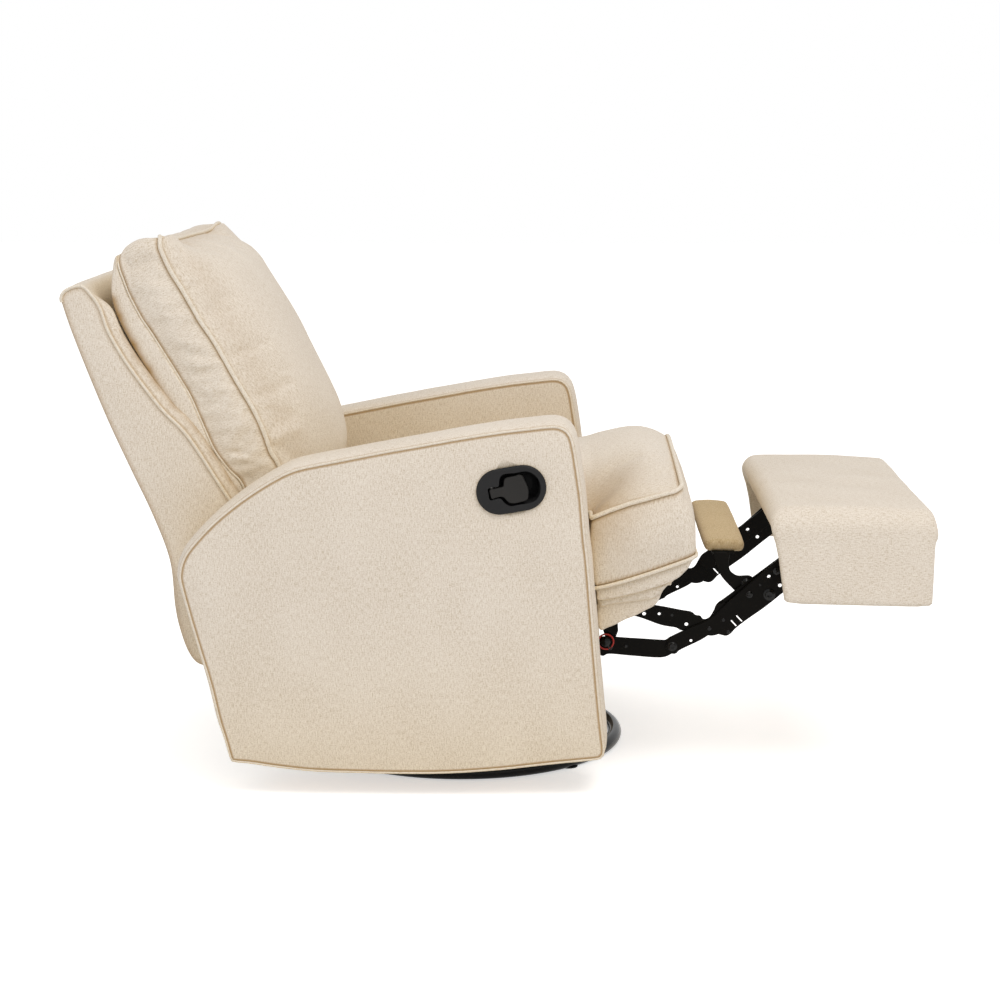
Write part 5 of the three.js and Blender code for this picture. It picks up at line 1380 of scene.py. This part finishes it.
# %% The linkage plates
LINK_A = [(246, 240), (300, 238), (352, 235), (360, 236), (367, 241), (374, 241), (379, 234), (380, 225), (377, 216),
          (370, 211), (350, 204), (300, 207), (262, 210), (250, 206), (240, 214), (238, 228)]
LINK_B = [(361, 231), (366, 240), (373, 245), (400, 258), (434, 274), (460, 299), (485, 322), (519, 352), (549, 379),
          (572, 400), (590, 405), (606, 396), (612, 378), (604, 358), (585, 342), (559, 321), (529, 296), (495, 271),
          (478, 257), (470, 248), (462, 244), (452, 246), (438, 248), (418, 236), (384, 219), (376, 212), (366, 213),
          (359, 221)]
LINK_C = [(250, 300), (256, 306), (266, 305), (300, 302), (348, 295), (385, 288), (402, 285), (410, 279), (418, 278),
          (423, 272), (434, 276), (446, 296), (458, 301), (468, 294), (470, 282), (458, 262), (452, 248), (438, 243),
          (420, 246), (400, 250), (383, 253), (376, 257), (349, 262), (305, 277), (262, 279), (252, 284)]
LINK_D = [(442, 288), (447, 299), (460, 309), (500, 340), (540, 371), (580, 402), (596, 412), (610, 410), (617, 398),
          (612, 386), (596, 374), (560, 347), (520, 316), (480, 286), (468, 274), (455, 272), (445, 277)]
SLITS, SLIT_WIDE = [((471, 270.5), (479.2, 261.6)), ((480, 279), (488.8, 269.8))], 2.3


def slot_loop(start, end, width):
    """A slot with round ends, from start to end."""
    start, end = np.array(start, float), np.array(end, float)
    along = (end - start) / np.linalg.norm(end - start)
    side = np.array([-along[1], along[0]]) * width / 2
    turn = np.linspace(-math.pi / 2, math.pi / 2, 6)
    tip = [end + along * width / 2 * math.cos(a) + side * math.sin(a) for a in turn]
    tail = [start - along * width / 2 * math.cos(a) - side * math.sin(a) for a in turn]
    return np.array(tip + tail)


DOME = [(1.0, 0.0), (0.98, 0.35), (0.86, 0.7), (0.6, 0.92), (0.3, 1.0), (0.0, 1.02)]
COLLAR = [(1, -0.3), (1, 1.1), (0.96, 1.4), (0.66, 1.5), (0.64, 2.6), (0.58, 3.2), (0.42, 3.3), (0.34, 2.7), (0, 2.6)]


def head(side, base_y, x, z, radius, high=None):
    """A rivet's head on a plate's outer face: a dome of the given height, or else a washer, a neck and a flat top."""
    if high is None:
        return turned_mesh(x, z, [(radius * wide, side * (base_y + up)) for wide, up in COLLAR], 28)
    dome = [(radius * wide, side * (base_y + high * up)) for wide, up in DOME]
    return turned_mesh(x, z, [(radius, side * (base_y - 0.4))] + dome, 24)


LUG, LUG_Y = [(249, 256), (262, 262), (276, 263), (277, 250), (272, 236), (256, 234)], (209.4, 217.5)
PIVOT_X, PIVOT_Z, RED_RING_Y, RED_RING_RADIUS, RED_RING_TUBE = 255.5, 232, 223.2, 13.2, 1.5
BARS = [  # name, body and node, layer in y, outline, points round it, holes, heads
    ("lower_bar", "link_a", (217.7, 221.7), LINK_A, 110, [],
     [(290, 224, 3.4, 1.2), (PIVOT_X, PIVOT_Z, 9.5, 6.5), (262, 222, 5.5)]),
    ("knee_bar", "link_b", (222.0, 226.0), LINK_B, 200, [(402, 235, 2.6), (534, 348, 3.3), (553, 333, 3.3)],
     [(370, 225, 8.5), (433, 257, 4.2, 2.2), (457, 272, 3.4, 1.6), (466, 251, 4.0, 1.8), (535, 317, 10.5),
      (501, 317, 6.0), (546, 358, 6.5, 2.6), (587, 372, 8.5), (519, 334, 2.4, 1.0)]),
    ("middle_bar", "link_c", (217.7, 221.7), LINK_C, 160, [(321, 281, 3.2), (347, 281, 2.6), (394, 263, 3.2)],
     [(276, 292, 6.5), (369, 279, 2.6, 0.2)]),
    ("rear_strap", "link_d", (213.4, 217.4), LINK_D, 140, [(534, 348, 3.8)], []),
]
for word, side in SIDES:
    for name, link, layer, outline, count, holes, heads in BARS:
        openings = [circle(*hole) for hole in holes]
        if name == "knee_bar":
            openings += [slot_loop(a, b, SLIT_WIDE) for a, b in SLITS]
        parts = [plate_mesh(curve_through(outline, count, closed=True), openings, *sorted(side * y for y in layer))]
        parts += [head(side, layer[1], *each) for each in heads]
        if name == "lower_bar":
            parts.append(plate_mesh(LUG, [], *sorted(side * y for y in LUG_Y), bevel=1.2))
        hard_piece(f"{name}_{word}", parts, link, "black_steel", [f"{link}_{word}"])
    if side < 0:
        around, faces = ring_of_tube(RED_RING_RADIUS, RED_RING_TUBE, 48, 10)
        points = [(PIVOT_X + x, side * (RED_RING_Y + out), PIVOT_Z + z) for x, z, out in around]
        hard_piece("red_pivot_ring", [(points, faces, [True] * len(faces))], "link_a", "red_plastic", ["pivot_washer"])

# %% The calf pad's brackets
BRACKET = [(440, 386), (466, 386), (466, 372), (468, 357), (474, 350), (483, 346), (503, 346), (510, 337), (506, 327),
           (496, 321), (481, 318), (470, 327), (456, 342), (447, 357), (442, 372)]
UPRIGHT_Y, SHOE_Y = (203.5, 208.8), (168, 208)
SHOE = [(437, 389.0), (476, 388.4), (476, 385.0), (437, 385.6)]
BOSS_X, BOSS_Z = 497, 333
BOSS = [(9, 207), (9, 209.5), (8.2, 210.4), (5, 210.6), (4.6, 212.6), (0, 212.8)]  # radius and y
for word, side in SIDES:
    upright = plate_mesh(curve_through(BRACKET, 110, closed=True), [circle(BOSS_X, BOSS_Z, 3.0)],
                         *sorted(side * y for y in UPRIGHT_Y), bevel=1.2)
    shoe = plate_mesh(SHOE, [], *sorted(side * y for y in SHOE_Y))
    boss = turned_mesh(BOSS_X, BOSS_Z, [(radius, side * y) for radius, y in BOSS], 28)
    hard_piece(f"calf_bracket_strap_{word}", [upright, shoe, boss], "link_d", "black_steel", [f"calf_bracket_{word}"])

# %% The steel ring
RING_RADIUS, TUBE_RADIUS, RING_Z = 277.5, 12.6, 13.0
around, faces = ring_of_tube(RING_RADIUS, TUBE_RADIUS, 160, 28)
ring = mesh_piece("base_ring_tube", [(x, y, RING_Z + z) for x, y, z in around], faces, None, GLOSS_BLACK)
dress(ring, "base", ["base_ring"])

# %% Size of the dressed chair
low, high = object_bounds()
print("dressed box:", [round(v, 3) for v in low], [round(v, 3) for v in high])
